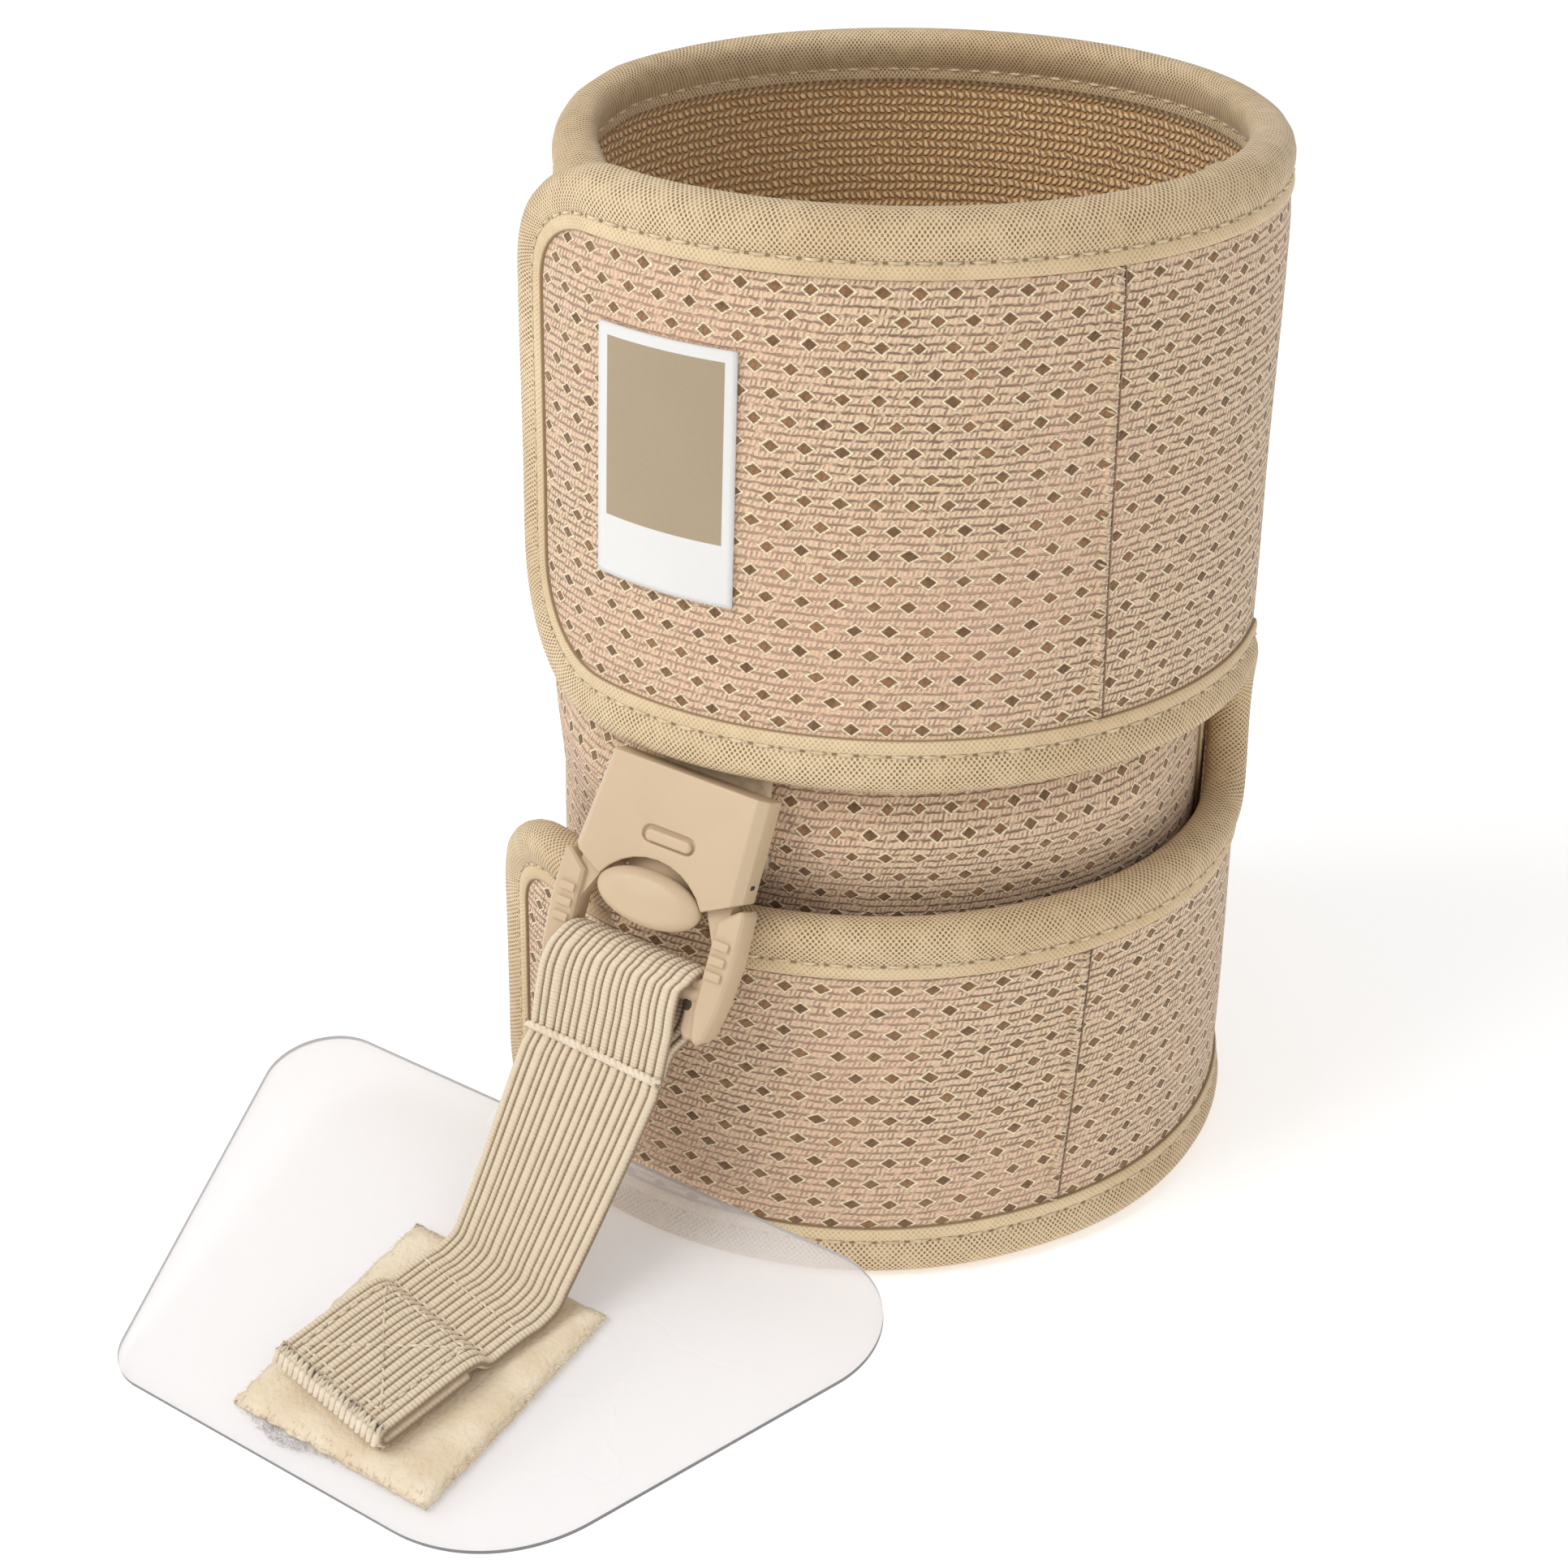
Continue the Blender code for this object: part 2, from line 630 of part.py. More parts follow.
def make_ladder_frame(collection, cutters, material, place):
    low, high = cavity_depths()
    low, high = low + GAP, high - GAP
    half = cavity_half() - GAP
    root_low = HINGE_Y + TONGUE_DEPTH / 2 + GAP
    tongue_side = TONGUE_HALF + GAP
    # The forked plate inside the housing: two legs and a root bar across their tops
    outline = [(half, FORK_FOOT_Y), (half, root_low + ROOT_BAR_HEIGHT),
               (-half, root_low + ROOT_BAR_HEIGHT), (-half, FORK_FOOT_Y),
               (-ARM_INNER - GAP, FORK_FOOT_Y), (-FORK_SHOULDER_X, FORK_SHOULDER_Y),
               (-tongue_side, root_low), (tongue_side, root_low),
               (FORK_SHOULDER_X, FORK_SHOULDER_Y), (ARM_INNER + GAP, FORK_FOOT_Y)]
    item = prism("ladder_frame", outline, low, high, collection, place)
    item.data.materials.append(material)
    front = -GAP
    for side, label in ((1, "right"), (-1, "left")):
        points = [(side * x, y) for x, y in arm_outline()]
        arm = prism("arm_" + label, points, front - ARM_DEPTH, front, cutters, place)
        chamfer_edges(arm, ARM_EDGE)
        boolean(item, arm, "UNION")
        for row in range(RIDGE_COUNT):
            y = RIDGE_FIRST_Y - row * RIDGE_PITCH
            inner = ARM_INNER + 0.12 * (ARM_OUTER - ARM_INNER)
            outer = ARM_INNER + 0.75 * (ARM_OUTER - ARM_INNER)
            ends = (side * inner, side * outer)
            points = box_outline(min(ends), max(ends), y - RIDGE_PITCH / 4, y + RIDGE_PITCH / 4)
            ridge = prism("ridge_%s_%d" % (label, row + 1), points, front - ARM_EDGE, front + RIDGE_HEIGHT,
                          cutters, place)
            boolean(item, ridge, "UNION")
    bar = strap_bar("strap_bar", cutters, place)
    boolean(item, bar, "UNION")
    return item


def bar_height():
    return -GAP - ARM_DEPTH / 2


def strap_bar(name, collection, place):
    shape = bmesh.new()
    length = 2 * ARM_INNER + (ARM_OUTER - ARM_INNER)
    turn = Matrix.Translation((0, BAR_Y, bar_height())) @ Matrix.Rotation(radians(90), 4, "Y")
    bmesh.ops.create_cone(shape, cap_ends=True, segments=12, radius1=BAR_RADIUS, radius2=BAR_RADIUS,
                          depth=length, matrix=turn)
    return add_object(name, mesh_from_bmesh(name, shape), collection, matrix=place)


def make_button(collection, cutters, material, place):
    # The button turns about its tongue's root, where its origin lies
    depth = sum(cavity_depths()) / 2
    hinge = place @ Matrix.Translation((0, HINGE_Y, depth))
    outline = box_outline(-TONGUE_HALF, TONGUE_HALF, -HINGE_Y, 0.0)
    item = prism("release_button", outline, -TONGUE_DEPTH / 2, TONGUE_DEPTH / 2, collection, hinge)
    item.data.materials.append(material)
    barrel = bmesh.new()
    bmesh.ops.create_cone(barrel, cap_ends=True, segments=12, radius1=TONGUE_DEPTH / 2, radius2=TONGUE_DEPTH / 2,
                          depth=2 * TONGUE_HALF, matrix=Matrix.Rotation(radians(90), 4, "Y"))
    root = add_object("tongue_root", mesh_from_bmesh("tongue_root", barrel), cutters, matrix=hinge)
    boolean(item, root, "UNION")
    dome = bmesh.new()
    bmesh.ops.create_uvsphere(dome, u_segments=20, v_segments=10, radius=1.0)
    back = depth - TONGUE_DEPTH / 2
    middle = (BUTTON_RISE + back) / 2
    scale = Matrix.Diagonal((BUTTON_HALF_LENGTH, BUTTON_HALF_WIDTH, BUTTON_RISE - middle, 1.0))
    bmesh.ops.transform(dome, matrix=Matrix.Translation((0, -HINGE_Y, middle - depth)) @ scale, verts=dome.verts)
    pad = add_object("button_dome", mesh_from_bmesh("button_dome", dome), cutters, matrix=hinge)
    boolean(item, pad, "UNION")
    return item


# The plate, its pad and the strap

def plate_matrix():
    # Along the plate's front edge, up its slope and out of its face; origin under its front edge
    turn = Matrix.Rotation(radians(PLATE_TURN), 4, "Z")
    slope = Matrix.Rotation(radians(PLATE_SLOPE), 4, "X")
    return Matrix.Translation((PLATE_X, PLATE_FRONT_Y, 0)) @ turn @ slope


def make_plate(collection, material):
    corners = ((-PLATE_FRONT_HALF, 0.0, PLATE_FRONT_LEFT), (PLATE_FRONT_HALF, 0.0, PLATE_FRONT_RIGHT),
               (PLATE_BACK_HALF, PLATE_LENGTH, PLATE_BACK_RIGHT),
               (-PLATE_BACK_HALF, PLATE_LENGTH, PLATE_BACK_LEFT))
    outline = [tuple(point) for point in round_outline(corners, 10.0)]
    item = prism("inlay_plate", outline, 0.0, PLATE_THICKNESS, collection, plate_matrix())
    item.data.materials.append(material)
    return item


def make_pad(collection, material):
    half_width, half_length = PAD_WIDTH / 2, PAD_LENGTH / 2
    corners = [(PAD_X + sx * half_width, PAD_Y + sy * half_length, PAD_CORNER)
               for sx, sy in ((-1, -1), (1, -1), (1, 1), (-1, 1))]
    outline = [tuple(point) for point in round_outline(corners, 30.0)]
    low = PLATE_THICKNESS + GAP
    item = prism("hook_pad", outline, low, low + PAD_THICKNESS, collection, plate_matrix())
    item.data.materials.append(material)
    return item


Station = namedtuple("Station", "point side width")


def loop_stations(place):
    # Round the bar between the arms, in the buckle's frame: up the front layer from the
    # seam below the arms' ends, over the bar, and down the back layer to the seam
    side = place.to_3x3() @ Vector((1, 0, 0))
    centre_z = bar_height()
    reach = BAR_RADIUS + GAP + STRAP_THICKNESS / 2
    layer = (STRAP_THICKNESS + GAP) / 2
    narrow = 2 * (ARM_INNER - GAP)
    rising = ((BAR_Y - SEAM_DISTANCE, layer, STRAP_WIDTH, STRAP_SEAM_SHIFT),
              (ARM_LOW - 4 * GAP, (layer + reach) / 2, narrow, 0.0),
              (BAR_Y, reach, narrow, 0.0))
    rows = list(rising)
    for step in range(1, BEND_STEPS):
        angle = pi * step / BEND_STEPS
        rows.append((BAR_Y + reach * sin(angle), reach * cos(angle), narrow, 0.0))
    rows.extend((y, -away, width, shift) for y, away, width, shift in reversed(rising))
    return [Station(place @ Vector((shift, y, centre_z + away)), side, width)
            for y, away, width, shift in rows]


def strap_route():
    # Middle of the strap from above the pad to its folded end, on the plate
    on_plate = plate_matrix()
    lying = PLATE_THICKNESS + GAP + PAD_THICKNESS + GAP + STRAP_THICKNESS / 2
    folded = lying + STRAP_THICKNESS + GAP
    pad_back = PAD_Y + PAD_LENGTH / 2
    places = (
        (pad_back - 0.06 * PAD_LENGTH, lying + 0.3 * STRAP_THICKNESS),
        (pad_back - 0.22 * PAD_LENGTH, lying),
        (STRAP_END_Y + UNDERLAP + 2 * STRAP_THICKNESS, lying),
        (STRAP_END_Y + UNDERLAP, folded),
        (STRAP_END_Y, folded),
    )
    route = [on_plate @ Vector((STRAP_END_X + STRAP_SKEW * (y - STRAP_END_Y), y, z)) for y, z in places]
    return route, lying, folded


def spline_point(before, start, end, after, share):
    # Catmull-Rom between start and end
    square, cube = share ** 2, share ** 3
    return 0.5 * ((2 * start) + (end - before) * share
                  + (2 * before - 5 * start + 4 * end - after) * square
                  + (3 * start - before - 3 * end + after) * cube)


def strap_stations(place):
    # The loop, the free run down to the pad, and the folded end
    stations = loop_stations(place)
    above, last = stations[-2:]
    route, lying, folded = strap_route()
    on_plate = plate_matrix()
    off_plate = on_plate.inverted()
    points = [above.point, last.point] + route + [2 * route[-1] - route[-2]]
    flat_side = (on_plate.to_3x3() @ Vector((1, -STRAP_SKEW, 0))).normalized()
    for run in range(1, len(points) - 2):
        steps = FREE_STEPS if run == 1 else LYING_STEPS
        for step in range(1, steps + 1):
            share = step / steps
            local = off_plate @ spline_point(*points[run - 1:run + 3], share)
            local.z = max(local.z, lying)
            turned = ease(share) if run == 1 else 1.0
            side = last.side.lerp(flat_side, turned).normalized()
            stations.append(Station(on_plate @ local, side, STRAP_WIDTH))
    end = stations[-1].point
    forward = (stations[-1].point - stations[-2].point).normalized()
    up = forward.cross(flat_side).normalized()
    radius = (folded - lying) / 2
    centre = end - up * radius
    for step in range(1, FOLD_STEPS + 1):
        angle = pi * step / FOLD_STEPS
        point = centre + up * radius * cos(angle) + forward * radius * sin(angle)
        stations.append(Station(point, flat_side, STRAP_WIDTH))
    stations.append(Station(centre - up * radius - forward * UNDERLAP, flat_side, STRAP_WIDTH))
    return stations


def make_strap(collection, material, place):
    stations = strap_stations(place)
    shape = bmesh.new()
    rings = []
    for index, station in enumerate(stations):
        before = stations[max(0, index - 1)].point
        after = stations[min(len(stations) - 1, index + 1)].point
        along = (after - before).normalized()
        side = (station.side - along * station.side.dot(along)).normalized()
        out = side.cross(along).normalized()
        half_width, half = side * (station.width / 2), out * (STRAP_THICKNESS / 2)
        corners = (-half_width - half, half_width - half, half_width + half, -half_width + half)
        rings.append([shape.verts.new(station.point + corner) for corner in corners])
    for ring, following in zip(rings, rings[1:]):
        for step in range(4):
            other = (step + 1) % 4
            shape.faces.new((ring[step], ring[other], following[other], following[step]))
    shape.faces.new(rings[0])
    shape.faces.new(rings[-1])
    item = add_object("elastic_strap", mesh_from_bmesh("elastic_strap", shape), collection, material)
    smooth(item, SMOOTH_ANGLE)
    return item


def centre_on_floor(collection, cutters):
    # Everything moves so that the brace's box is centred and stands on z = 0
    bpy.context.view_layer.update()
    graph = bpy.context.evaluated_depsgraph_get()
    points = []
    for item in collection.objects:
        solid = item.evaluated_get(graph)
        points.extend(item.matrix_world @ vertex.co for vertex in solid.to_mesh().vertices)
        solid.to_mesh_clear()
    lows, highs = ([pick(values) for values in zip(*points)] for pick in (min, max))
    shift = Vector((-(lows[0] + highs[0]) / 2, -(lows[1] + highs[1]) / 2, -lows[2]))
    for item in list(collection.objects) + list(cutters.objects):
        item.matrix_world = Matrix.Translation(shift) @ item.matrix_world


def main():
    clear_scene()
    collection = make_collection(COLLECTION)
    cutters = make_collection("cutters")
    finish = {name: make_material(name) for name in MATERIALS}

    half = wall_half()
    band_sheet("wrap_mesh", half, MESH_THICKNESS, collection, finish["spacer_mesh"])
    band_sheet("terry_lining", half - MESH_THICKNESS - GAP, LINING_THICKNESS, collection, finish["terry"])
    make_binding(collection, finish["binding_tape"])
    label_heights = (LABEL_LOW, LABEL_LOW + LABEL_HEIGHT / 2, LABEL_LOW + LABEL_HEIGHT)
    band_patch("front_label", LABEL_TURN, LABEL_WIDTH, label_heights, LABEL_THICKNESS, collection, finish["print"])
    anchor_heights = (ANCHOR_LOW, *puff_heights(ANCHOR_TURN), ANCHOR_HIGH)
    band_patch("buckle_anchor", ANCHOR_TURN, ANCHOR_WIDTH, anchor_heights, ANCHOR_THICKNESS,
               collection, finish["elastic"])

    place = buckle_matrix()
    make_housing(collection, cutters, finish["beige_plastic"], place)
    make_ladder_frame(collection, cutters, finish["beige_plastic"], place)
    make_button(collection, cutters, finish["beige_plastic"], place)
    make_strap(collection, finish["elastic"], place)
    make_plate(collection, finish["clear_sheet"])
    make_pad(collection, finish["hook_tape"])
    centre_on_floor(collection, cutters)


main()
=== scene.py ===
from math import acos, ceil, cos, degrees, hypot, pi, radians, sin, sqrt, tan
from random import Random

import bmesh
import bpy
from mathutils import Matrix, Vector, noise


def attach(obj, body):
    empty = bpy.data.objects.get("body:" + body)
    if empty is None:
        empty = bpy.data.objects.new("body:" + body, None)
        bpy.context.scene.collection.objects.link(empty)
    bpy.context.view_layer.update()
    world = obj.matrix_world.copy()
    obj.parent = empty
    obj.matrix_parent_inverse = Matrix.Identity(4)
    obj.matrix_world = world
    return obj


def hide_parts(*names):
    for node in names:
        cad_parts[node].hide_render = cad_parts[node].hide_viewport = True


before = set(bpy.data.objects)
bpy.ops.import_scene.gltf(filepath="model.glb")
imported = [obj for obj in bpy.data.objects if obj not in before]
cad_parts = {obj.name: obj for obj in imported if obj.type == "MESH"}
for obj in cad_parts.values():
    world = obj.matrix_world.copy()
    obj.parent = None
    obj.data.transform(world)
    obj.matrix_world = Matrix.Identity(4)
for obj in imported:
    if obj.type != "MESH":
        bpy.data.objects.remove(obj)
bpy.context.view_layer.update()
print("frame loaded")

mm = 0.001
floorShift = Vector((0.00232, 0.03766, 0.0))  # the brace's box is centred on the origin


# the wrap: one band wound outwards, slit into two flaps

wrap = {
    "height": 132.0 * mm, "radius": 40.6 * mm, "topNarrowing": 5.0 * mm, "narrowSide": 36.0,
    "headShift": (-0.7 * mm, -0.5 * mm), "footShift": (1.6 * mm, -6.4 * mm),
    "rimCurl": 2.0 * mm, "rimCurlHeight": 12.0 * mm, "layerStep": 5.3 * mm,
    "slitLow": 48.8 * mm, "slitHigh": 64.9 * mm, "puff": 2.8 * mm, "puffReach": 10.0 * mm,
    "innerTopDrop": 3.5 * mm, "innerEnd": -128.0, "dropEnd": 35.0, "fullHeight": 80.0,
    "slitStart": 240.0, "flapEnd": 399.0,
    "innerCorner": 11.5 * mm, "lowerCorner": 13.0 * mm, "upperLowCorner": 18.0 * mm,
    "upperTopCorner": 15.0 * mm, "wallHalf": 1.6 * mm, "wallInset": 1.6 * mm,
    "softness": 0.3 * mm, "softnessScale": 34.0,
    "columnStep": 1.9 * mm, "lowerRows": 15, "upperRows": 23, "merge": 0.01 * mm,
    "knitThickness": 2.0 * mm, "liningDepth": 2.1 * mm, "liningThickness": 1.1 * mm,
}
# turn along the band, layers out for the upper and lower half, share of the puff
layerRows = [
    (-128.0, -0.50, -0.50, 0.0), (-100.0, -0.42, -0.42, 0.0), (-80.0, -0.37, -0.37, 1.0),
    (20.0, -0.09, -0.09, 1.0), (44.0, -0.02, 0.08, 0.5), (70.0, 0.42, 0.46, 0.4),
    (115.0, 0.55, 0.35, 0.0), (232.0, 0.55, 0.55, 0.0), (300.0, 0.74, 0.86, 0.0),
    (399.0, 1.00, 1.70, 0.3),
]


def arcOf(turn):
    return radians(turn) * wrap["radius"]


def layerValue(turn, column):
    if turn <= layerRows[0][0]:
        return layerRows[0][column]
    for low, high in zip(layerRows, layerRows[1:]):
        if turn <= high[0]:
            share = (turn - low[0]) / (high[0] - low[0])
            return low[column] * (1 - share) + high[column] * share
    return layerRows[-1][column]


def ease(share):
    share = max(0.0, min(1.0, share))
    return share * share * (3 - 2 * share)


def wrapPoint(arc, height, offset):
    # along the band, up it, and out from the middle of its wall
    turn = degrees(arc / wrap["radius"])
    around = radians(turn)
    share = height / wrap["height"]
    wide = wrap["radius"]
    narrow = wide - wrap["topNarrowing"] * ease(share)
    fromNarrow = around + radians(wrap["narrowSide"])
    ring = wide * narrow / hypot(narrow * sin(fromNarrow), wide * cos(fromNarrow))
    upper = ease((height - wrap["slitLow"]) / (wrap["slitHigh"] - wrap["slitLow"]))
    layers = layerValue(turn, 1) * upper + layerValue(turn, 2) * (1 - upper)
    middle = (wrap["slitLow"] + wrap["slitHigh"]) / 2
    puff = max(0.0, 1 - abs(height - middle) / wrap["puffReach"]) * layerValue(turn, 3)
    curl = max(0.0, 1 - (wrap["height"] - height) / wrap["rimCurlHeight"]) ** 2
    soft = noise.noise(Vector((arc, height, 0.3)) * wrap["softnessScale"]) * wrap["softness"]
    radius = ring + layers * wrap["layerStep"] + puff * wrap["puff"] - curl * wrap["rimCurl"] + offset + soft
    centreX = wrap["footShift"][0] * (1 - share) + wrap["headShift"][0] * share
    centreY = wrap["footShift"][1] * (1 - share) + wrap["headShift"][1] * share
    return floorShift + Vector((centreX - radius * sin(around), centreY - radius * cos(around), height))


def cornerRise(distance, radius):
    if distance >= radius:
        return 0.0
    return radius - sqrt(max(0.0, radius ** 2 - (radius - distance) ** 2))


def bandLimits(arc, inset):
    # heights of the wall at one place: foot, the slit's two edges and top
    fromInner = arc - (arcOf(wrap["innerEnd"]) + inset)
    fromOuter = arcOf(wrap["flapEnd"]) - inset - arc
    inner = cornerRise(fromInner, wrap["innerCorner"] - inset)
    drop = (degrees(arc / wrap["radius"]) - wrap["dropEnd"]) / (wrap["fullHeight"] - wrap["dropEnd"])
    top = wrap["height"] - wrap["innerTopDrop"] * (1 - max(0.0, min(1.0, drop))) - inset
    middle = (wrap["slitLow"] + wrap["slitHigh"]) / 2
    slitHalf = (wrap["slitHigh"] - wrap["slitLow"]) / 2 + inset
    intoSlit = arc - (arcOf(wrap["slitStart"]) - inset)
    opening = 0.0
    if intoSlit > 0:
        reach = max(0.0, slitHalf - intoSlit)
        opening = sqrt(slitHalf ** 2 - reach ** 2)
    lowerRise = cornerRise(fromOuter, wrap["lowerCorner"] - inset)
    low = inset + inner + lowerRise
    slitLow = middle - opening - lowerRise
    slitHigh = middle + opening + cornerRise(fromOuter, wrap["upperLowCorner"] - inset)
    top -= inner + cornerRise(fromOuter, wrap["upperTopCorner"] - inset)
    return low, slitLow, slitHigh, top


# mesh helpers

def addPiece(name, mesh, body="brace", materials=()):
    piece = bpy.data.objects.new(name, mesh)
    bpy.context.scene.collection.objects.link(piece)
    for material in materials:
        mesh.materials.append(material)
    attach(piece, body)
    return piece


def meshFrom(name, shape, merge=0.0):
    if merge > 0:
        bmesh.ops.remove_doubles(shape, verts=shape.verts, dist=merge)
    bmesh.ops.recalc_face_normals(shape, faces=shape.faces)
    mesh = bpy.data.meshes.new(name)
    shape.to_mesh(mesh)
    shape.free()
    mesh.shade_smooth()
    return mesh


def layUv(face, uvLayer, places):
    for loop, place in zip(face.loops, places):
        loop[uvLayer].uv = place


def faceStrip(shape, uvLayer, left, right):
    # faces between two lines of (vertex, UV place) pairs
    for a, b, c, d in zip(left, left[1:], right[1:], right):
        layUv(shape.faces.new((a[0], b[0], c[0], d[0])), uvLayer, (a[1], b[1], c[1], d[1]))


def joinRings(shape, rings):
    # faces between closed rings of as many corners
    faces = []
    for ring, following in zip(rings, rings[1:]):
        for step in range(len(ring)):
            other = (step + 1) % len(ring)
            faces.append(shape.faces.new((ring[step], ring[other], following[other], following[step])))
    return faces


def thicken(piece, thickness):
    # inwards from the modelled face
    solid = piece.modifiers.new("wall", "SOLIDIFY")
    solid.thickness = thickness
    solid.offset = -1.0


def soften(piece, width, segments=3, harden=False):
    rounding = piece.modifiers.new("roundedEdges", "BEVEL")
    rounding.width = width
    rounding.segments = segments
    rounding.limit_method = "ANGLE"
    rounding.angle_limit = radians(35)
    rounding.harden_normals = harden


def addThread(shape, points, radius, sides=6):
    # a thread through a few points, narrower at its two ends
    rings = []
    for index, point in enumerate(points):
        before, after = points[max(0, index - 1)], points[min(len(points) - 1, index + 1)]
        along = (after - before).normalized()
        side = along.orthogonal().normalized()
        other = along.cross(side)
        ends = index in (0, len(points) - 1)
        size = radius * (0.45 if ends else 1.0)
        rings.append([shape.verts.new(point + (side * cos(2 * pi * step / sides)
                                               + other * sin(2 * pi * step / sides)) * size)
                      for step in range(sides)])
    joinRings(shape, rings)
    shape.faces.new(rings[0])
    shape.faces.new(rings[-1])


# shader helpers

def calc(tree, operation, *values):
    node = tree.nodes.new("ShaderNodeMath")
    node.operation = operation
    for socket, value in zip(node.inputs, values):
        if isinstance(value, (int, float)):
            socket.default_value = value
        else:
            tree.links.new(value, socket)
    return node.outputs[0]


def times(tree, first, second):
    return calc(tree, "MULTIPLY", first, second)


def plus(tree, first, second):
    return calc(tree, "ADD", first, second)


def minus(tree, first, second):
    return calc(tree, "SUBTRACT", first, second)


def splitPlace(tree, where):
    node = tree.nodes.new("ShaderNodeSeparateXYZ")
    tree.links.new(where, node.inputs[0])
    return node.outputs


def ramp(tree, value, low, high, start=0.0, end=1.0):
    node = tree.nodes.new("ShaderNodeMapRange")
    node.interpolation_type = "SMOOTHSTEP"
    tree.links.new(value, node.inputs["Value"])
    node.inputs["From Min"].default_value = low
    node.inputs["From Max"].default_value = high
    node.inputs["To Min"].default_value = start
    node.inputs["To Max"].default_value = end
    return node.outputs[0]


def mixColour(tree, share, first, second):
    node = tree.nodes.new("ShaderNodeMix")
    node.data_type = "RGBA"
    tree.links.new(share, node.inputs[0])
    for socket, value in ((node.inputs[6], first), (node.inputs[7], second)):
        if isinstance(value, tuple):
            socket.default_value = (*value, 1.0)
        else:
            tree.links.new(value, socket)
    return node.outputs[2]


def noiseValue(tree, place, scale, detail=3.0, stretch=None):
    if stretch is not None:
        mapping = tree.nodes.new("ShaderNodeMapping")
        mapping.inputs["Scale"].default_value = stretch
        tree.links.new(place, mapping.inputs["Vector"])
        place = mapping.outputs[0]
    node = tree.nodes.new("ShaderNodeTexNoise")
    node.inputs["Scale"].default_value = scale
    node.inputs["Detail"].default_value = detail
    tree.links.new(place, node.inputs["Vector"])
    return node.outputs[0]


def newGroup(name, inputs, outputs):
    tree = bpy.data.node_groups.new(name, "ShaderNodeTree")
    for label, kind, default in inputs:
        socket = tree.interface.new_socket(name=label, in_out="INPUT", socket_type=kind)
        if default is not None:
            socket.default_value = default
    for label in outputs:
        tree.interface.new_socket(name=label, in_out="OUTPUT", socket_type="NodeSocketFloat")
    return tree, tree.nodes.new("NodeGroupInput"), tree.nodes.new("NodeGroupOutput")


def makeOpenKnit():
    # staggered diamond holes with a rim round each, between rows of slanting stitches; the masks place a
    # painted highlight on the rims and painted shade in the holes and grooves; places are in millimetres
    tree, given, out = newGroup("openKnit", [
        ("Place", "NodeSocketVector", None), ("Pitch", "NodeSocketFloat", 3.87),
        ("Row Pitch", "NodeSocketFloat", 2.98), ("Rib Pitch", "NodeSocketFloat", 0.993),
        ("Hole Size", "NodeSocketFloat", 0.86)], ["Hole", "Rim", "Rib", "Height"])
    place, pitch, rowPitch = given.outputs["Place"], given.outputs["Pitch"], given.outputs["Row Pitch"]
    split = splitPlace(tree, place)
    wander = times(tree, minus(tree, noiseValue(tree, place, 0.22), 0.5), 1.1)
    across = plus(tree, split[0], wander)
    up = plus(tree, split[1], times(tree, wander, 0.55))
    rowPlace = calc(tree, "DIVIDE", up, rowPitch)
    odd = calc(tree, "MODULO", calc(tree, "FLOOR", rowPlace), 2.0)
    columnPlace = plus(tree, calc(tree, "DIVIDE", across, pitch), times(tree, odd, 0.5))
    sideways = times(tree, calc(tree, "ABSOLUTE", minus(tree, calc(tree, "FRACT", columnPlace), 0.5)), pitch)
    upright = times(tree, calc(tree, "ABSOLUTE", minus(tree, calc(tree, "FRACT", rowPlace), 0.5)), rowPitch)
    away = plus(tree, sideways, times(tree, upright, 1.27))
    away = minus(tree, away, given.outputs["Hole Size"])
    holeShade = ramp(tree, away, -0.14, 0.06, 1.0, 0.0)
    rimHighlight = times(tree, ramp(tree, away, -0.04, 0.06), ramp(tree, away, 0.3, 0.52, 1.0, 0.0))
    fray = times(tree, minus(tree, noiseValue(tree, place, 1.3, 2.0), 0.5), 0.5)
    ribPlace = calc(tree, "DIVIDE", plus(tree, up, fray), given.outputs["Rib Pitch"])
    inRib = calc(tree, "FRACT", ribPlace)
    edge = calc(tree, "ABSOLUTE", minus(tree, inRib, 0.5))
    broken = ramp(tree, noiseValue(tree, place, 1.5, 2.0, (0.7, 1.6, 1.0)), 0.32, 0.55, 0.34, 0.84)
    # the groove mask also places the painted shade between the ribs, beside their dip in the bump
    grooveShade = times(tree, ramp(tree, edge, 0.27, 0.45), broken)
    slant = plus(tree, calc(tree, "DIVIDE", across, 0.58), times(tree, inRib, 0.7))
    slant = plus(tree, slant, times(tree, calc(tree, "FLOOR", ribPlace), 0.5))
    wave = calc(tree, "SINE", times(tree, slant, 2 * pi))
    patchy = ramp(tree, noiseValue(tree, place, 0.9, 3.0), 0.35, 0.7, 0.28, 0.8)
    stitch = times(tree, ramp(tree, wave, 0.2, 0.9), patchy)
    rib = minus(tree, 1.0, calc(tree, "MAXIMUM", grooveShade, stitch))
    height = plus(tree, times(tree, rib, 0.5), times(tree, rimHighlight, 0.3))
    height = minus(tree, height, times(tree, holeShade, 0.4))
    for label, value in (("Hole", holeShade), ("Rim", rimHighlight), ("Rib", rib), ("Height", height)):
        tree.links.new(value, out.inputs[label])
    return tree


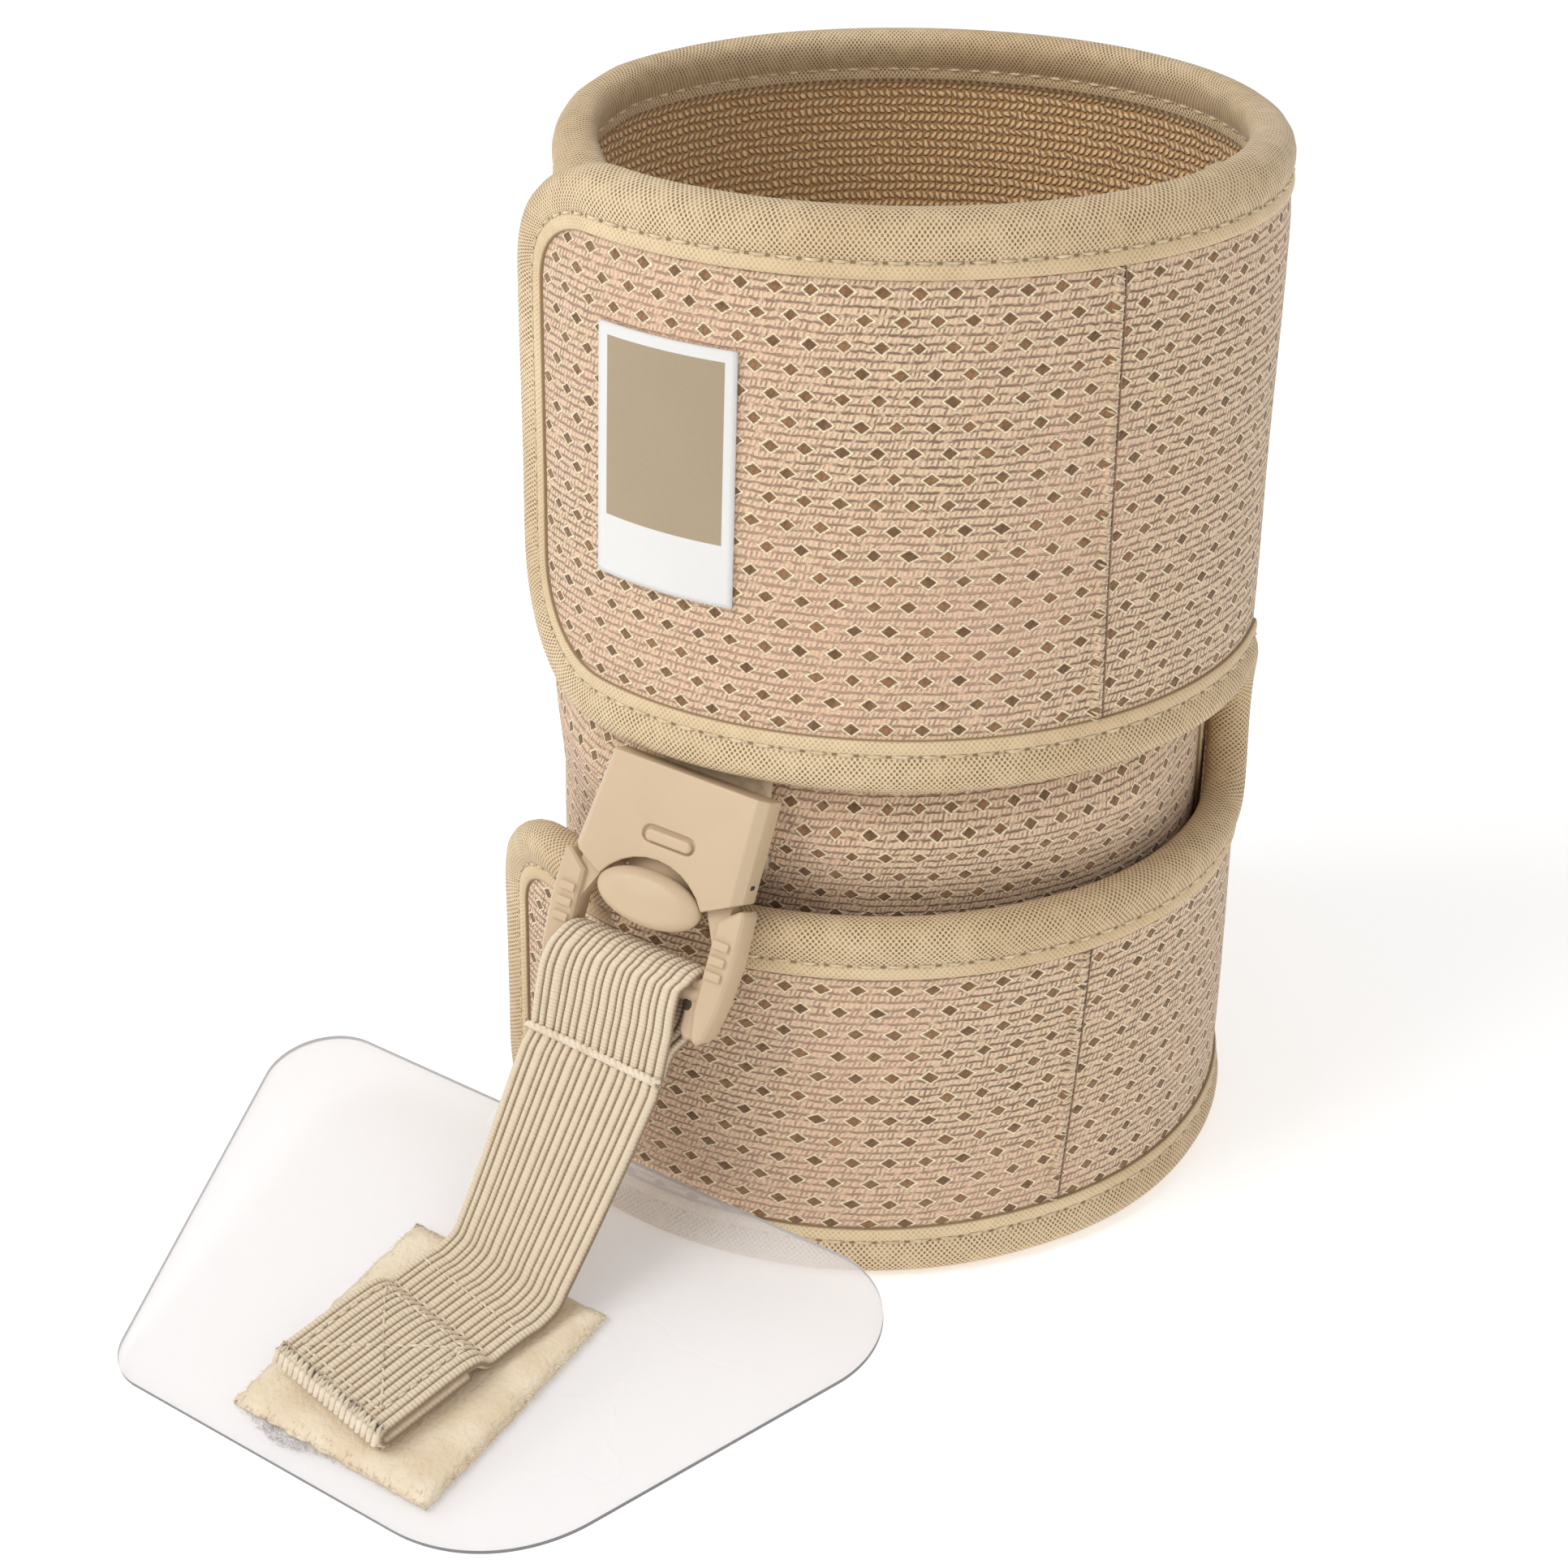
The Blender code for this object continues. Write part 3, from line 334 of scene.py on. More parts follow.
def makeTapeWeave():
    # small dark gaps in a staggered lattice of yarns
    tree, given, out = newGroup("tapeWeave", [
        ("Place", "NodeSocketVector", None), ("Pitch", "NodeSocketFloat", 0.6),
        ("Row Pitch", "NodeSocketFloat", 0.38)], ["Gap", "Height"])
    split = splitPlace(tree, given.outputs["Place"])
    along = times(tree, calc(tree, "DIVIDE", split[0], given.outputs["Pitch"]), 2 * pi)
    across = times(tree, calc(tree, "DIVIDE", split[1], given.outputs["Row Pitch"]), pi)
    product = times(tree, calc(tree, "COSINE", along), calc(tree, "COSINE", across))
    wear = noiseValue(tree, given.outputs["Place"], 0.45, 3.0)
    gap = times(tree, ramp(tree, product, 0.05, 0.7), ramp(tree, wear, 0.3, 0.65, 0.5, 1.0))
    tree.links.new(gap, out.inputs["Gap"])
    tree.links.new(minus(tree, 1.0, gap), out.inputs["Height"])
    return tree


def makeFineGrain():
    # slow colour drift and a fine surface grain, for any finish
    tree, given, out = newGroup("fineGrain", [
        ("Place", "NodeSocketVector", None), ("Drift Scale", "NodeSocketFloat", 30.0),
        ("Grain Scale", "NodeSocketFloat", 2500.0)], ["Drift", "Grain"])
    for label, socket, detail in (("Drift", "Drift Scale", 3.0), ("Grain", "Grain Scale", 2.0)):
        texture = tree.nodes.new("ShaderNodeTexNoise")
        texture.inputs["Detail"].default_value = detail
        tree.links.new(given.outputs["Place"], texture.inputs["Vector"])
        tree.links.new(given.outputs[socket], texture.inputs["Scale"])
        tree.links.new(texture.outputs[0], out.inputs[label])
    return tree


openKnit, tapeWeave, fineGrain = makeOpenKnit(), makeTapeWeave(), makeFineGrain()


def newMaterial(name, roughness, sheen=0.0):
    material = bpy.data.materials.new(name)
    material.use_nodes = True
    tree = material.node_tree
    shader = tree.nodes["Principled BSDF"]
    shader.inputs["Roughness"].default_value = roughness
    shader.inputs["Sheen Weight"].default_value = sheen
    return material, tree, shader


def coordinates(tree, kind="UV"):
    return tree.nodes.new("ShaderNodeTexCoord").outputs[kind]


def useGroup(tree, group, where, **values):
    node = tree.nodes.new("ShaderNodeGroup")
    node.node_tree = group
    tree.links.new(where, node.inputs["Place"])
    for label, value in values.items():
        node.inputs[label].default_value = value
    return node.outputs


def objectGrain(tree, drift=30.0, fine=2500.0):
    return useGroup(tree, fineGrain, coordinates(tree, "Object"), **{"Drift Scale": drift, "Grain Scale": fine})


def addBump(tree, shader, height, distance, strength=1.0):
    bump = tree.nodes.new("ShaderNodeBump")
    bump.inputs["Distance"].default_value = distance
    bump.inputs["Strength"].default_value = strength
    tree.links.new(height, bump.inputs["Height"])
    tree.links.new(bump.outputs[0], shader.inputs["Normal"])


# the darker groove, hole and deep-hole colours are painted shade; the lighter rim colour is a painted highlight
# on the raised hole rims
knitLook = {"yarn": (0.79, 0.57, 0.375), "grooveShade": (0.14, 0.07, 0.036), "rimHighlight": (1.0, 0.80, 0.52),
            "flush": (0.76, 0.48, 0.335), "holeShade": (0.32, 0.16, 0.065), "deepHoleShade": (0.17, 0.08, 0.03)}


def makeKnit():
    material, tree, shader = newMaterial("spacer knit", 0.88, 0.25)
    uv = coordinates(tree)
    knit = useGroup(tree, openKnit, uv)
    drift = objectGrain(tree)
    # painted shade in the grooves and along the slanting stitches
    colour = mixColour(tree, ramp(tree, knit["Rib"], 0.0, 0.85), knitLook["grooveShade"], knitLook["yarn"])
    colour = mixColour(tree, ramp(tree, drift["Drift"], 0.35, 0.7, 0.0, 0.5), colour, knitLook["flush"])
    # painted highlight on the raised rim round each hole
    colour = mixColour(tree, knit["Rim"], colour, knitLook["rimHighlight"])
    # painted shade inside the holes, darker in places as if deeper
    depth = noiseValue(tree, uv, 0.25, 2.0)
    inside = mixColour(tree, ramp(tree, depth, 0.35, 0.65), knitLook["holeShade"], knitLook["deepHoleShade"])
    colour = mixColour(tree, knit["Hole"], colour, inside)
    tree.links.new(colour, shader.inputs["Base Color"])
    addBump(tree, shader, knit["Height"], 0.55 * mm)
    return material


# the gap colour serves the weave's gaps, the seam dashes and the painted shade along the tape's edges
bindingLook = {"tape": (0.68, 0.50, 0.29), "light": (0.77, 0.60, 0.375), "gap": (0.24, 0.14, 0.06),
               "seamAt": 2.22, "profileLength": 19.6, "dashPitch": 1.15}


def makeTape():
    # the second UV number runs round the tape, so its two seams and its flat edges lie at fixed places
    material, tree, shader = newMaterial("binding tape", 0.8, 0.15)
    uv = coordinates(tree)
    weave = useGroup(tree, tapeWeave, uv)
    drift = objectGrain(tree)
    split = splitPlace(tree, uv)
    fromEdge = calc(tree, "MINIMUM", split[1],
                    minus(tree, bindingLook["profileLength"], split[1]))
    onRoll = ramp(tree, fromEdge, bindingLook["seamAt"] - 0.1, bindingLook["seamAt"] + 0.5, 0.38, 1.0)
    gap = times(tree, weave["Gap"], onRoll)
    fromSeam = calc(tree, "ABSOLUTE", minus(tree, fromEdge, bindingLook["seamAt"]))
    seamLine = ramp(tree, fromSeam, 0.08, 0.3, 1.0, 0.0)
    dash = calc(tree, "SINE", times(tree, split[0], 2 * pi / bindingLook["dashPitch"]))
    seamLine = times(tree, seamLine, ramp(tree, dash, -0.4, 0.5, 0.25, 0.95))
    # painted shade along the tape's two edges, where it tucks against the wall
    edgeShade = ramp(tree, fromEdge, 0.1, 0.4, 0.9, 0.0)
    dark = calc(tree, "MAXIMUM", calc(tree, "MAXIMUM", gap, seamLine), edgeShade)
    tape = mixColour(tree, ramp(tree, drift["Drift"], 0.35, 0.65), bindingLook["tape"], bindingLook["light"])
    tree.links.new(mixColour(tree, dark, tape, bindingLook["gap"]), shader.inputs["Base Color"])
    addBump(tree, shader, minus(tree, 1.0, dark), 0.22 * mm)
    return material


terryLook = {"loop": (1.0, 0.70, 0.36), "shade": (0.52, 0.26, 0.09), "pitch": 0.95, "rowPitch": 1.15}


def makeTerry():
    material, tree, shader = newMaterial("terry", 0.95, 0.3)
    uv = coordinates(tree)
    # rows of slanting loops
    split = splitPlace(tree, uv)
    wander = minus(tree, noiseValue(tree, uv, 0.5, 3.0), 0.5)
    rowPlace = plus(tree, calc(tree, "DIVIDE", split[1], terryLook["rowPitch"]), wander)
    row = calc(tree, "FLOOR", rowPlace)
    inRow = minus(tree, calc(tree, "FRACT", rowPlace), 0.5)
    side = minus(tree, times(tree, calc(tree, "MODULO", row, 2.0), 2.0), 1.0)
    slant = times(tree, times(tree, inRow, side), 0.6)
    columnPlace = plus(tree, calc(tree, "DIVIDE", split[0], terryLook["pitch"]), slant)
    columnPlace = plus(tree, columnPlace, times(tree, wander, 0.8))
    inColumn = minus(tree, calc(tree, "FRACT", columnPlace), 0.5)
    fromMiddle = plus(tree, times(tree, inRow, inRow), times(tree, inColumn, inColumn))
    loop = ramp(tree, fromMiddle, 0.03, 0.27, 1.0, 0.0)
    fuzz = noiseValue(tree, uv, 2.2, 3.0)
    height = plus(tree, loop, times(tree, fuzz, 0.5))
    colour = mixColour(tree, ramp(tree, height, 0.15, 1.05), terryLook["shade"], terryLook["loop"])
    tree.links.new(colour, shader.inputs["Base Color"])
    addBump(tree, shader, height, 0.6 * mm)
    return material


plasticLook = {"colour": (0.57, 0.425, 0.275), "light": (0.63, 0.48, 0.32)}


def makePlastic():
    material, tree, shader = newMaterial("moulded plastic", 0.42)
    grain = objectGrain(tree, 90.0, 3500.0)
    tree.links.new(mixColour(tree, grain["Drift"], plasticLook["colour"], plasticLook["light"]),
                   shader.inputs["Base Color"])
    tree.links.new(ramp(tree, grain["Grain"], 0.2, 0.8, 0.36, 0.52), shader.inputs["Roughness"])
    shader.inputs["Subsurface Weight"].default_value = 0.06
    shader.inputs["Subsurface Scale"].default_value = 2 * mm
    addBump(tree, shader, grain["Grain"], 0.03 * mm)
    return material


# the groove colour is painted shade between the strap's ribs
elasticLook = {"yarn": (0.78, 0.65, 0.47), "grooveShade": (0.30, 0.20, 0.12), "crossPitch": 0.5}


def makeElastic():
    # the ribs are in the mesh; the second UV number runs from groove to crest
    material, tree, shader = newMaterial("ribbed elastic", 0.82, 0.2)
    uv = coordinates(tree)
    split = splitPlace(tree, uv)
    tooth = calc(tree, "SINE", times(tree, split[0], 2 * pi / elasticLook["crossPitch"]))
    fuzz = noiseValue(tree, uv, 1.4, 3.0)
    height = plus(tree, times(tree, tooth, 0.35), fuzz)
    crest = plus(tree, split[1], times(tree, minus(tree, height, 0.5), 0.16))
    # painted shade from crest down into each groove
    colour = mixColour(tree, ramp(tree, crest, 0.02, 0.85), elasticLook["grooveShade"], elasticLook["yarn"])
    tree.links.new(colour, shader.inputs["Base Color"])
    addBump(tree, shader, height, 0.12 * mm)
    return material


def makeFuzzy(name, dark, light, scale):
    material, tree, shader = newMaterial(name, 0.92, 0.35)
    grain = objectGrain(tree, scale, 1400.0)
    colour = mixColour(tree, ramp(tree, grain["Drift"], 0.3, 0.7), dark, light)
    tree.links.new(colour, shader.inputs["Base Color"])
    addBump(tree, shader, grain["Grain"], 0.25 * mm)
    return material


# the edge colour is painted shade: the dark line seen along the clear sheet's edge
plateLook = {"colour": (0.91, 0.89, 0.885), "cloud": (0.87, 0.845, 0.85), "edge": (0.13, 0.13, 0.135),
             "alpha": 0.46}


def makeSheet():
    material, tree, shader = newMaterial("clear sheet", 0.22)
    grain = objectGrain(tree, 22.0, 400.0)
    colour = mixColour(tree, grain["Drift"], plateLook["colour"], plateLook["cloud"])
    tree.links.new(colour, shader.inputs["Base Color"])
    tree.links.new(ramp(tree, grain["Drift"], 0.3, 0.7, 0.16, 0.34), shader.inputs["Roughness"])
    shader.inputs["Alpha"].default_value = plateLook["alpha"]
    shader.inputs["IOR"].default_value = 1.45
    addBump(tree, shader, grain["Drift"], 0.4 * mm, 0.5)
    return material


def makePrint(name, dark, light):
    material, tree, shader = newMaterial(name, 0.55)
    grain = objectGrain(tree, 60.0, 1800.0)
    tree.links.new(mixColour(tree, grain["Drift"], dark, light), shader.inputs["Base Color"])
    tree.links.new(ramp(tree, grain["Grain"], 0.2, 0.8, 0.45, 0.65), shader.inputs["Roughness"])
    addBump(tree, shader, grain["Grain"], 0.05 * mm)
    return material


knitMaterial, tapeMaterial, terryMaterial = makeKnit(), makeTape(), makeTerry()
plasticMaterial, elasticMaterial, sheetMaterial = makePlastic(), makeElastic(), makeSheet()
padMaterial = makeFuzzy("hook tape", (0.76, 0.62, 0.43), (0.85, 0.73, 0.55), 180.0)
fuzzMaterial = makeFuzzy("loose fuzz", (0.62, 0.58, 0.57), (0.84, 0.81, 0.80), 900.0)
threadMaterial = makeFuzzy("thread", (0.62, 0.49, 0.31), (0.78, 0.65, 0.45), 500.0)
strapThreadMaterial = makeFuzzy("strap thread", (0.74, 0.61, 0.45), (0.84, 0.73, 0.57), 500.0)
# a thin dark cord laid in the seams' creases, as painted shade
seamCreaseShadeMaterial = makeFuzzy("seam crease shade", (0.20, 0.11, 0.06), (0.32, 0.19, 0.11), 500.0)
# painted shade for the notch in the housing and the hole at the bar's end
recessShadeMaterial = makePrint("recess shade", (0.03, 0.02, 0.012), (0.07, 0.045, 0.03))
# painted shade for the clear sheet's edge line
sheetEdgeShadeMaterial = makePrint("sheet edge shade", plateLook["edge"], (0.26, 0.26, 0.265))
borderMaterial = makePrint("label border", (0.70, 0.69, 0.67), (0.77, 0.76, 0.74))
fieldMaterial = makePrint("label field", (0.34, 0.265, 0.17), (0.40, 0.315, 0.205))
print("materials made")


# the wrap's two layers

def wallColumns(inset):
    start, end = arcOf(wrap["innerEnd"]) + inset, arcOf(wrap["flapEnd"]) - inset
    slit = arcOf(wrap["slitStart"]) - inset
    places = {start, slit, end}
    for share in (0.02, 0.08, 0.18, 0.32, 0.5, 0.75):
        places.add(start + share * wrap["innerCorner"])
        places.add(slit + share * (wrap["slitHigh"] - wrap["slitLow"]) / 2)
        places.add(end - share * wrap["upperLowCorner"])
    arc = start
    while arc < end:
        if all(abs(arc - other) > 0.3 * wrap["columnStep"] for other in places):
            places.add(arc)
        arc += wrap["columnStep"]
    return sorted(places)


def makeWall(name, node, faceOffset, thickness, material):
    shape = bmesh.new()
    uvLayer = shape.loops.layers.uv.new("lay")
    columns = []
    for arc in wallColumns(wrap["wallInset"]):
        low, slitLow, slitHigh, top = bandLimits(arc, wrap["wallInset"])
        parts = []
        for start, end, count in ((low, slitLow, wrap["lowerRows"]), (slitHigh, top, wrap["upperRows"])):
            heights = [start + (end - start) * step / count for step in range(count + 1)]
            parts.append([(shape.verts.new(wrapPoint(arc, height, faceOffset)), (arc / mm, height / mm))
                          for height in heights])
        columns.append(parts)
    for left, right in zip(columns, columns[1:]):
        for leftPart, rightPart in zip(left, right):
            faceStrip(shape, uvLayer, leftPart, rightPart)
    piece = addPiece(name, meshFrom(name, shape, wrap["merge"]), "brace", [material])
    thicken(piece, thickness)
    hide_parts(node)
    return piece


wrapKnit = makeWall("wrapKnit", "wrap_mesh", wrap["wallHalf"], wrap["knitThickness"],
                    knitMaterial)
wrapLining = makeWall("wrapLining", "terry_lining", wrap["wallHalf"] - wrap["liningDepth"],
                      wrap["liningThickness"], terryMaterial)
print("wrap made")


# the folded tape round the band's edge

binding = {
    "step": 1.5 * mm, "cornerStep": 6.0, "stitchIn": 5.05 * mm, "stitchPitch": 3.0 * mm,
    "stitchLength": 2.0 * mm, "threadRadius": 0.2 * mm,
}
stitchLifts = (1.82, 2.06, 2.06, 1.82)  # a stitch's four points out from the wall's middle, in millimetres
# distance in from the edge and out from the wall's middle, in millimetres
tapeProfile = [(7.0, 1.66), (6.85, 1.98), (6.3, 2.14), (5.45, 2.12), (5.05, 1.92), (4.6, 2.16), (3.9, 2.46),
               (2.9, 2.66), (1.9, 2.62), (1.05, 2.26), (0.4, 1.5), (0.06, 0.6)]


def roundOutline(corners, arcStep):
    points = []
    for index, (x, y, radius) in enumerate(corners):
        corner = Vector((x, y))
        before = (Vector(corners[index - 1][:2]) - corner).normalized()
        after = (Vector(corners[(index + 1) % len(corners)][:2]) - corner).normalized()
        if radius <= 0.0:
            points.append(corner)
            continue
        half = acos(max(-1.0, min(1.0, before.dot(after)))) / 2
        centre = corner + (before + after).normalized() * (radius / sin(half))
        start = corner + before * (radius / tan(half)) - centre
        sweep = pi - 2 * half
        turning = 1.0 if before.cross(after) < 0 else -1.0
        steps = max(2, ceil(degrees(sweep) / arcStep))
        for step in range(steps + 1):
            angle = turning * sweep * step / steps
            points.append(centre + Vector((start.x * cos(angle) - start.y * sin(angle),
                                           start.x * sin(angle) + start.y * cos(angle))))
    return points


def divided(points, longest):
    result = []
    for index, point in enumerate(points):
        following = points[(index + 1) % len(points)]
        pieces = max(1, ceil((following - point).length / longest - 0.001))
        result.extend(point.lerp(following, step / pieces) for step in range(pieces))
    return result


def bandOutline():
    start, end, slit = arcOf(wrap["innerEnd"]), arcOf(wrap["flapEnd"]), arcOf(wrap["slitStart"])
    slitCorner = (wrap["slitHigh"] - wrap["slitLow"]) / 2 * 0.98
    dropped = wrap["height"] - wrap["innerTopDrop"]
    corners = (
        (start, 0.0, wrap["innerCorner"]), (end, 0.0, wrap["lowerCorner"]),
        (end, wrap["slitLow"], wrap["lowerCorner"]), (slit, wrap["slitLow"], slitCorner),
        (slit, wrap["slitHigh"], slitCorner), (end, wrap["slitHigh"], wrap["upperLowCorner"]),
        (end, wrap["height"], wrap["upperTopCorner"]), (arcOf(wrap["fullHeight"]), wrap["height"], 0.0),
        (arcOf(wrap["dropEnd"]), dropped, 0.0), (start, dropped, wrap["innerCorner"]),
    )
    return divided(roundOutline(corners, binding["cornerStep"]), binding["step"])


def edgeFrames():
    # place on the flat band, inward direction and length so far
    outline = bandOutline()
    frames, length = [], 0.0
    for index, point in enumerate(outline):
        along = outline[(index + 1) % len(outline)] - outline[index - 1]
        frames.append((point, Vector((-along.y, along.x)).normalized(), length))
        length += (outline[(index + 1) % len(outline)] - point).length
    return frames, length


def makeBinding():
    frames, total = edgeFrames()
    profile = [(d * mm, out * mm) for d, out in tapeProfile]
    profile += [(d, -out) for d, out in reversed(profile)]
    spread = [0.0]
    for (d0, out0), (d1, out1) in zip(profile, profile[1:]):
        spread.append(spread[-1] + hypot(d1 - d0, out1 - out0))
    shape = bmesh.new()
    uvLayer = shape.loops.layers.uv.new("lay")
    rings = [[shape.verts.new(wrapPoint(point.x + inward.x * d, point.y + inward.y * d, out))
              for d, out in profile] for point, inward, length in frames]
    for index, ring in enumerate(rings):
        following = rings[(index + 1) % len(rings)]
        here = frames[index][2] / mm
        there = (frames[index + 1][2] if index + 1 < len(frames) else total) / mm
        for step in range(len(profile) - 1):
            face = shape.faces.new((ring[step], ring[step + 1], following[step + 1], following[step]))
            low, high = spread[step] / mm, spread[step + 1] / mm
            layUv(face, uvLayer, ((here, low), (here, high), (there, high), (there, low)))
        face = shape.faces.new((ring[-1], ring[0], following[0], following[-1]))
        layUv(face, uvLayer, ((here, 0), (here, 0), (there, 0), (there, 0)))
    piece = addPiece("edgeTape", meshFrom("edgeTape", shape), "brace", [tapeMaterial])
    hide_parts("edge_binding")
    return frames, total


def edgePlace(frames, total, length):
    # a place on the band's edge, by its length along the edge
    length %= total
    low, high = 0, len(frames) - 1
    while high - low > 1:
        middle = (low + high) // 2
        if frames[middle][2] <= length:
            low = middle
        else:
            high = middle
    a, b = frames[low], frames[high]
    share = (length - a[2]) / max(1e-9, b[2] - a[2])
    return a[0].lerp(b[0], min(1.0, share)), a[1].lerp(b[1], min(1.0, share))


def makeEdgeStitches(frames, total):
    shape = bmesh.new()
    count = int(total / binding["stitchPitch"])
    for index in range(count):
        start = index * binding["stitchPitch"]
        for side in (1, -1):
            points = []
            for step, lift in enumerate(stitchLifts):
                point, inward = edgePlace(frames, total, start + binding["stitchLength"] * step / 3)
                inward = inward * binding["stitchIn"]
                points.append(wrapPoint(point.x + inward.x, point.y + inward.y, side * lift * mm))
            addThread(shape, points, binding["threadRadius"], 5)
    addPiece("edgeStitches", meshFrom("edgeStitches", shape), "brace", [threadMaterial])


bindingFrames, bindingTotal = makeBinding()
makeEdgeStitches(bindingFrames, bindingTotal)
print("binding made")


# sewn lines up the two flaps, and the patches on the wrap

seams = {"upper": (290.6, 290.0, 71.0 * mm, 125.5 * mm), "lower": (294.8, 291.0, 6.5 * mm, 42.5 * mm),
         "pleatWidth": 1.5 * mm, "pleatHeight": 0.5 * mm, "creaseShadeRadius": 0.15 * mm,
         "stitchPitch": 0.95 * mm, "stitchRadius": 0.15 * mm}


def makeSideSeams():
    # a small pleat up each flap, a thin dark cord beside it as painted shade in the seam's crease, and slanting
    # stitches over it
    pleats, creaseShade, stitches = bmesh.new(), bmesh.new(), bmesh.new()
    uvLayer = pleats.loops.layers.uv.new("lay")
    for key in ("upper", "lower"):
        lowTurn, highTurn, low, high = seams[key]
        steps = int((high - low) / mm)

        def seamArc(height):
            return arcOf(lowTurn + (highTurn - lowTurn) * (height - low) / (high - low))

        rings, line = [], []
        for step in range(steps + 1):
            height = low + (high - low) * step / steps
            ends = ease(min(step, steps - step) / 2)
            ring = []
            for part in range(9):
                share = part / 8
                arc = seamArc(height) + seams["pleatWidth"] * share
                lift = seams["pleatHeight"] * sin(pi * share) ** 0.7 * ends - 0.05 * mm
                corner = pleats.verts.new(wrapPoint(arc, height, wrap["wallHalf"] + lift))
                ring.append((corner, (arc / mm, height / mm)))
            rings.append(ring)
            line.append(wrapPoint(seamArc(height) - 0.1 * mm, height, wrap["wallHalf"] + 0.02 * mm))
        for ring, following in zip(rings, rings[1:]):
            faceStrip(pleats, uvLayer, ring, following)
        # painted shade in the seam's crease, as a dark cord
        addThread(creaseShade, line, seams["creaseShadeRadius"], 6)
        for index in range(int((high - low) / seams["stitchPitch"])):
            start = low + seams["stitchPitch"] * (index + 0.3)
            points = []
            for share in (0.0, 0.3, 0.7, 1.0):
                height = start + share * 0.8 * seams["stitchPitch"]
                lift = wrap["wallHalf"] + seams["pleatHeight"] * (1.05 * sin(pi * share)) + 0.02 * mm
                points.append(wrapPoint(seamArc(height) + seams["pleatWidth"] * share, height, lift))
            addThread(stitches, points, seams["stitchRadius"], 5)
    addPiece("seamPleats", meshFrom("seamPleats", pleats), "brace", [knitMaterial])
    addPiece("seamCreaseShade", meshFrom("seamCreaseShade", creaseShade), "brace", [seamCreaseShadeMaterial])
    addPiece("seamStitches", meshFrom("seamStitches", stitches), "brace", [threadMaterial])


# border and foot are counted in cells of the patch's grid
label = {"turn": 361.5, "low": 86.0 * mm, "high": 116.0 * mm, "width": 17.3 * mm, "lift": 0.55 * mm,
         "thickness": 0.5 * mm, "grid": (27, 45), "border": 2, "foot": 11}
anchor = {"turn": -5.0, "low": 52.0 * mm, "high": 82.0 * mm, "width": 15.5 * mm, "lift": 0.9 * mm,
          "thickness": 0.7 * mm, "grid": (12, 12)}
backing = {"turn": 355.6, "width": 14.0 * mm, "low": 36.6 * mm, "high": 46.8 * mm, "lift": 1.4 * mm,
           "thickness": 0.4 * mm, "grid": (16, 20), "flat": (17.9 * mm, 10.4 * mm)}


def makePatch(name, node, patch, materials):
    # a patch that lies on the wall; a border in its own material where the patch has one
    shape = bmesh.new()
    uvLayer = shape.loops.layers.uv.new("lay")
    columns, rows = patch["grid"]
    grid = []
    for column in range(columns + 1):
        arc = arcOf(patch["turn"]) + patch["width"] * (column / columns - 0.5)
        line = []
        for row in range(rows + 1):
            height = patch["low"] + (patch["high"] - patch["low"]) * row / rows
            corner = shape.verts.new(wrapPoint(arc, height, wrap["wallHalf"] + patch["lift"]))
            line.append((corner, (height / mm, 0.6)))
        grid.append(line)
    for column, (left, right) in enumerate(zip(grid, grid[1:])):
        for row, (a, b, c, d) in enumerate(zip(left, left[1:], right[1:], right)):
            face = shape.faces.new((a[0], b[0], c[0], d[0]))
            layUv(face, uvLayer, (a[1], b[1], c[1], d[1]))
            if "border" in patch:
                inField = patch["border"] <= column < columns - patch["border"]
                inField = inField and patch["foot"] <= row < rows - patch["border"]
                face.material_index = int(inField)
    piece = addPiece(name, meshFrom(name, shape), "brace", materials)
    thicken(piece, patch["thickness"])
    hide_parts(node)


def makeBacking():
    # the flap of knit that hangs behind the buckle, over the lower flap's binding
    shape = bmesh.new()
    uvLayer = shape.loops.layers.uv.new("lay")
    columns, rows = backing["grid"]
    grid = []
    for column in range(columns + 1):
        arc = arcOf(backing["turn"]) + backing["width"] * (column / columns - 0.5)
        line = []
        for row in range(rows + 1):
            height = backing["low"] + (backing["high"] - backing["low"]) * row / rows
            corner = shape.verts.new(wrapPoint(arc, height, wrap["wallHalf"] + backing["lift"]))
            line.append((corner, (arc / mm, height / mm)))
        grid.append(line)
    for left, right in zip(grid, grid[1:]):
        faceStrip(shape, uvLayer, left, right)
    piece = addPiece("buckleBacking", meshFrom("buckleBacking", shape), "brace", [knitMaterial])
    thicken(piece, backing["thickness"])


makeSideSeams()
makeBacking()
makePatch("plainLabel", "front_label", label, [borderMaterial, fieldMaterial])
makePatch("anchorTab", "buckle_anchor", anchor, [threadMaterial])
print("seams and patches made")


# the buckle

buckle = {
    "place": Vector((3.6, -56.4, 50.4)) * mm, "azimuth": 9.0, "tilt": 24.0, "lean": 4.0,
    "edgeRound": 0.32 * mm, "topNarrowing": 0.15, "pillX": 0.7 * mm, "pillY": 7.6 * mm,
    "pillLength": 6.4 * mm, "pillWidth": 1.5 * mm,
    "buttonHalfLength": 7.2 * mm, "buttonHalfWidth": 3.4 * mm, "buttonRise": 1.9 * mm,
    "buttonBack": -2.75 * mm, "buttonCrown": 0.12,
    "tongue": (8.8 * mm, 8.0 * mm, 1.3 * mm), "tongueZ": -2.1 * mm,
    "barY": -9.0 * mm, "barZ": -2.2 * mm, "barRadius": 1.5 * mm,
    "narrowFrom": 3.2 * mm, "narrowOver": 12.6 * mm, "armEndRound": 0.5 * mm, "armEndLevels": (-3.75, -1.0),
}
# the right arm's end, in millimetres on the buckle's face
armEnd = [(7.8, -7.4), (9.8, -6.6), (11.4, -10.0), (11.3, -13.0), (10.4, -14.3), (8.7, -14.6), (8.0, -13.6)]
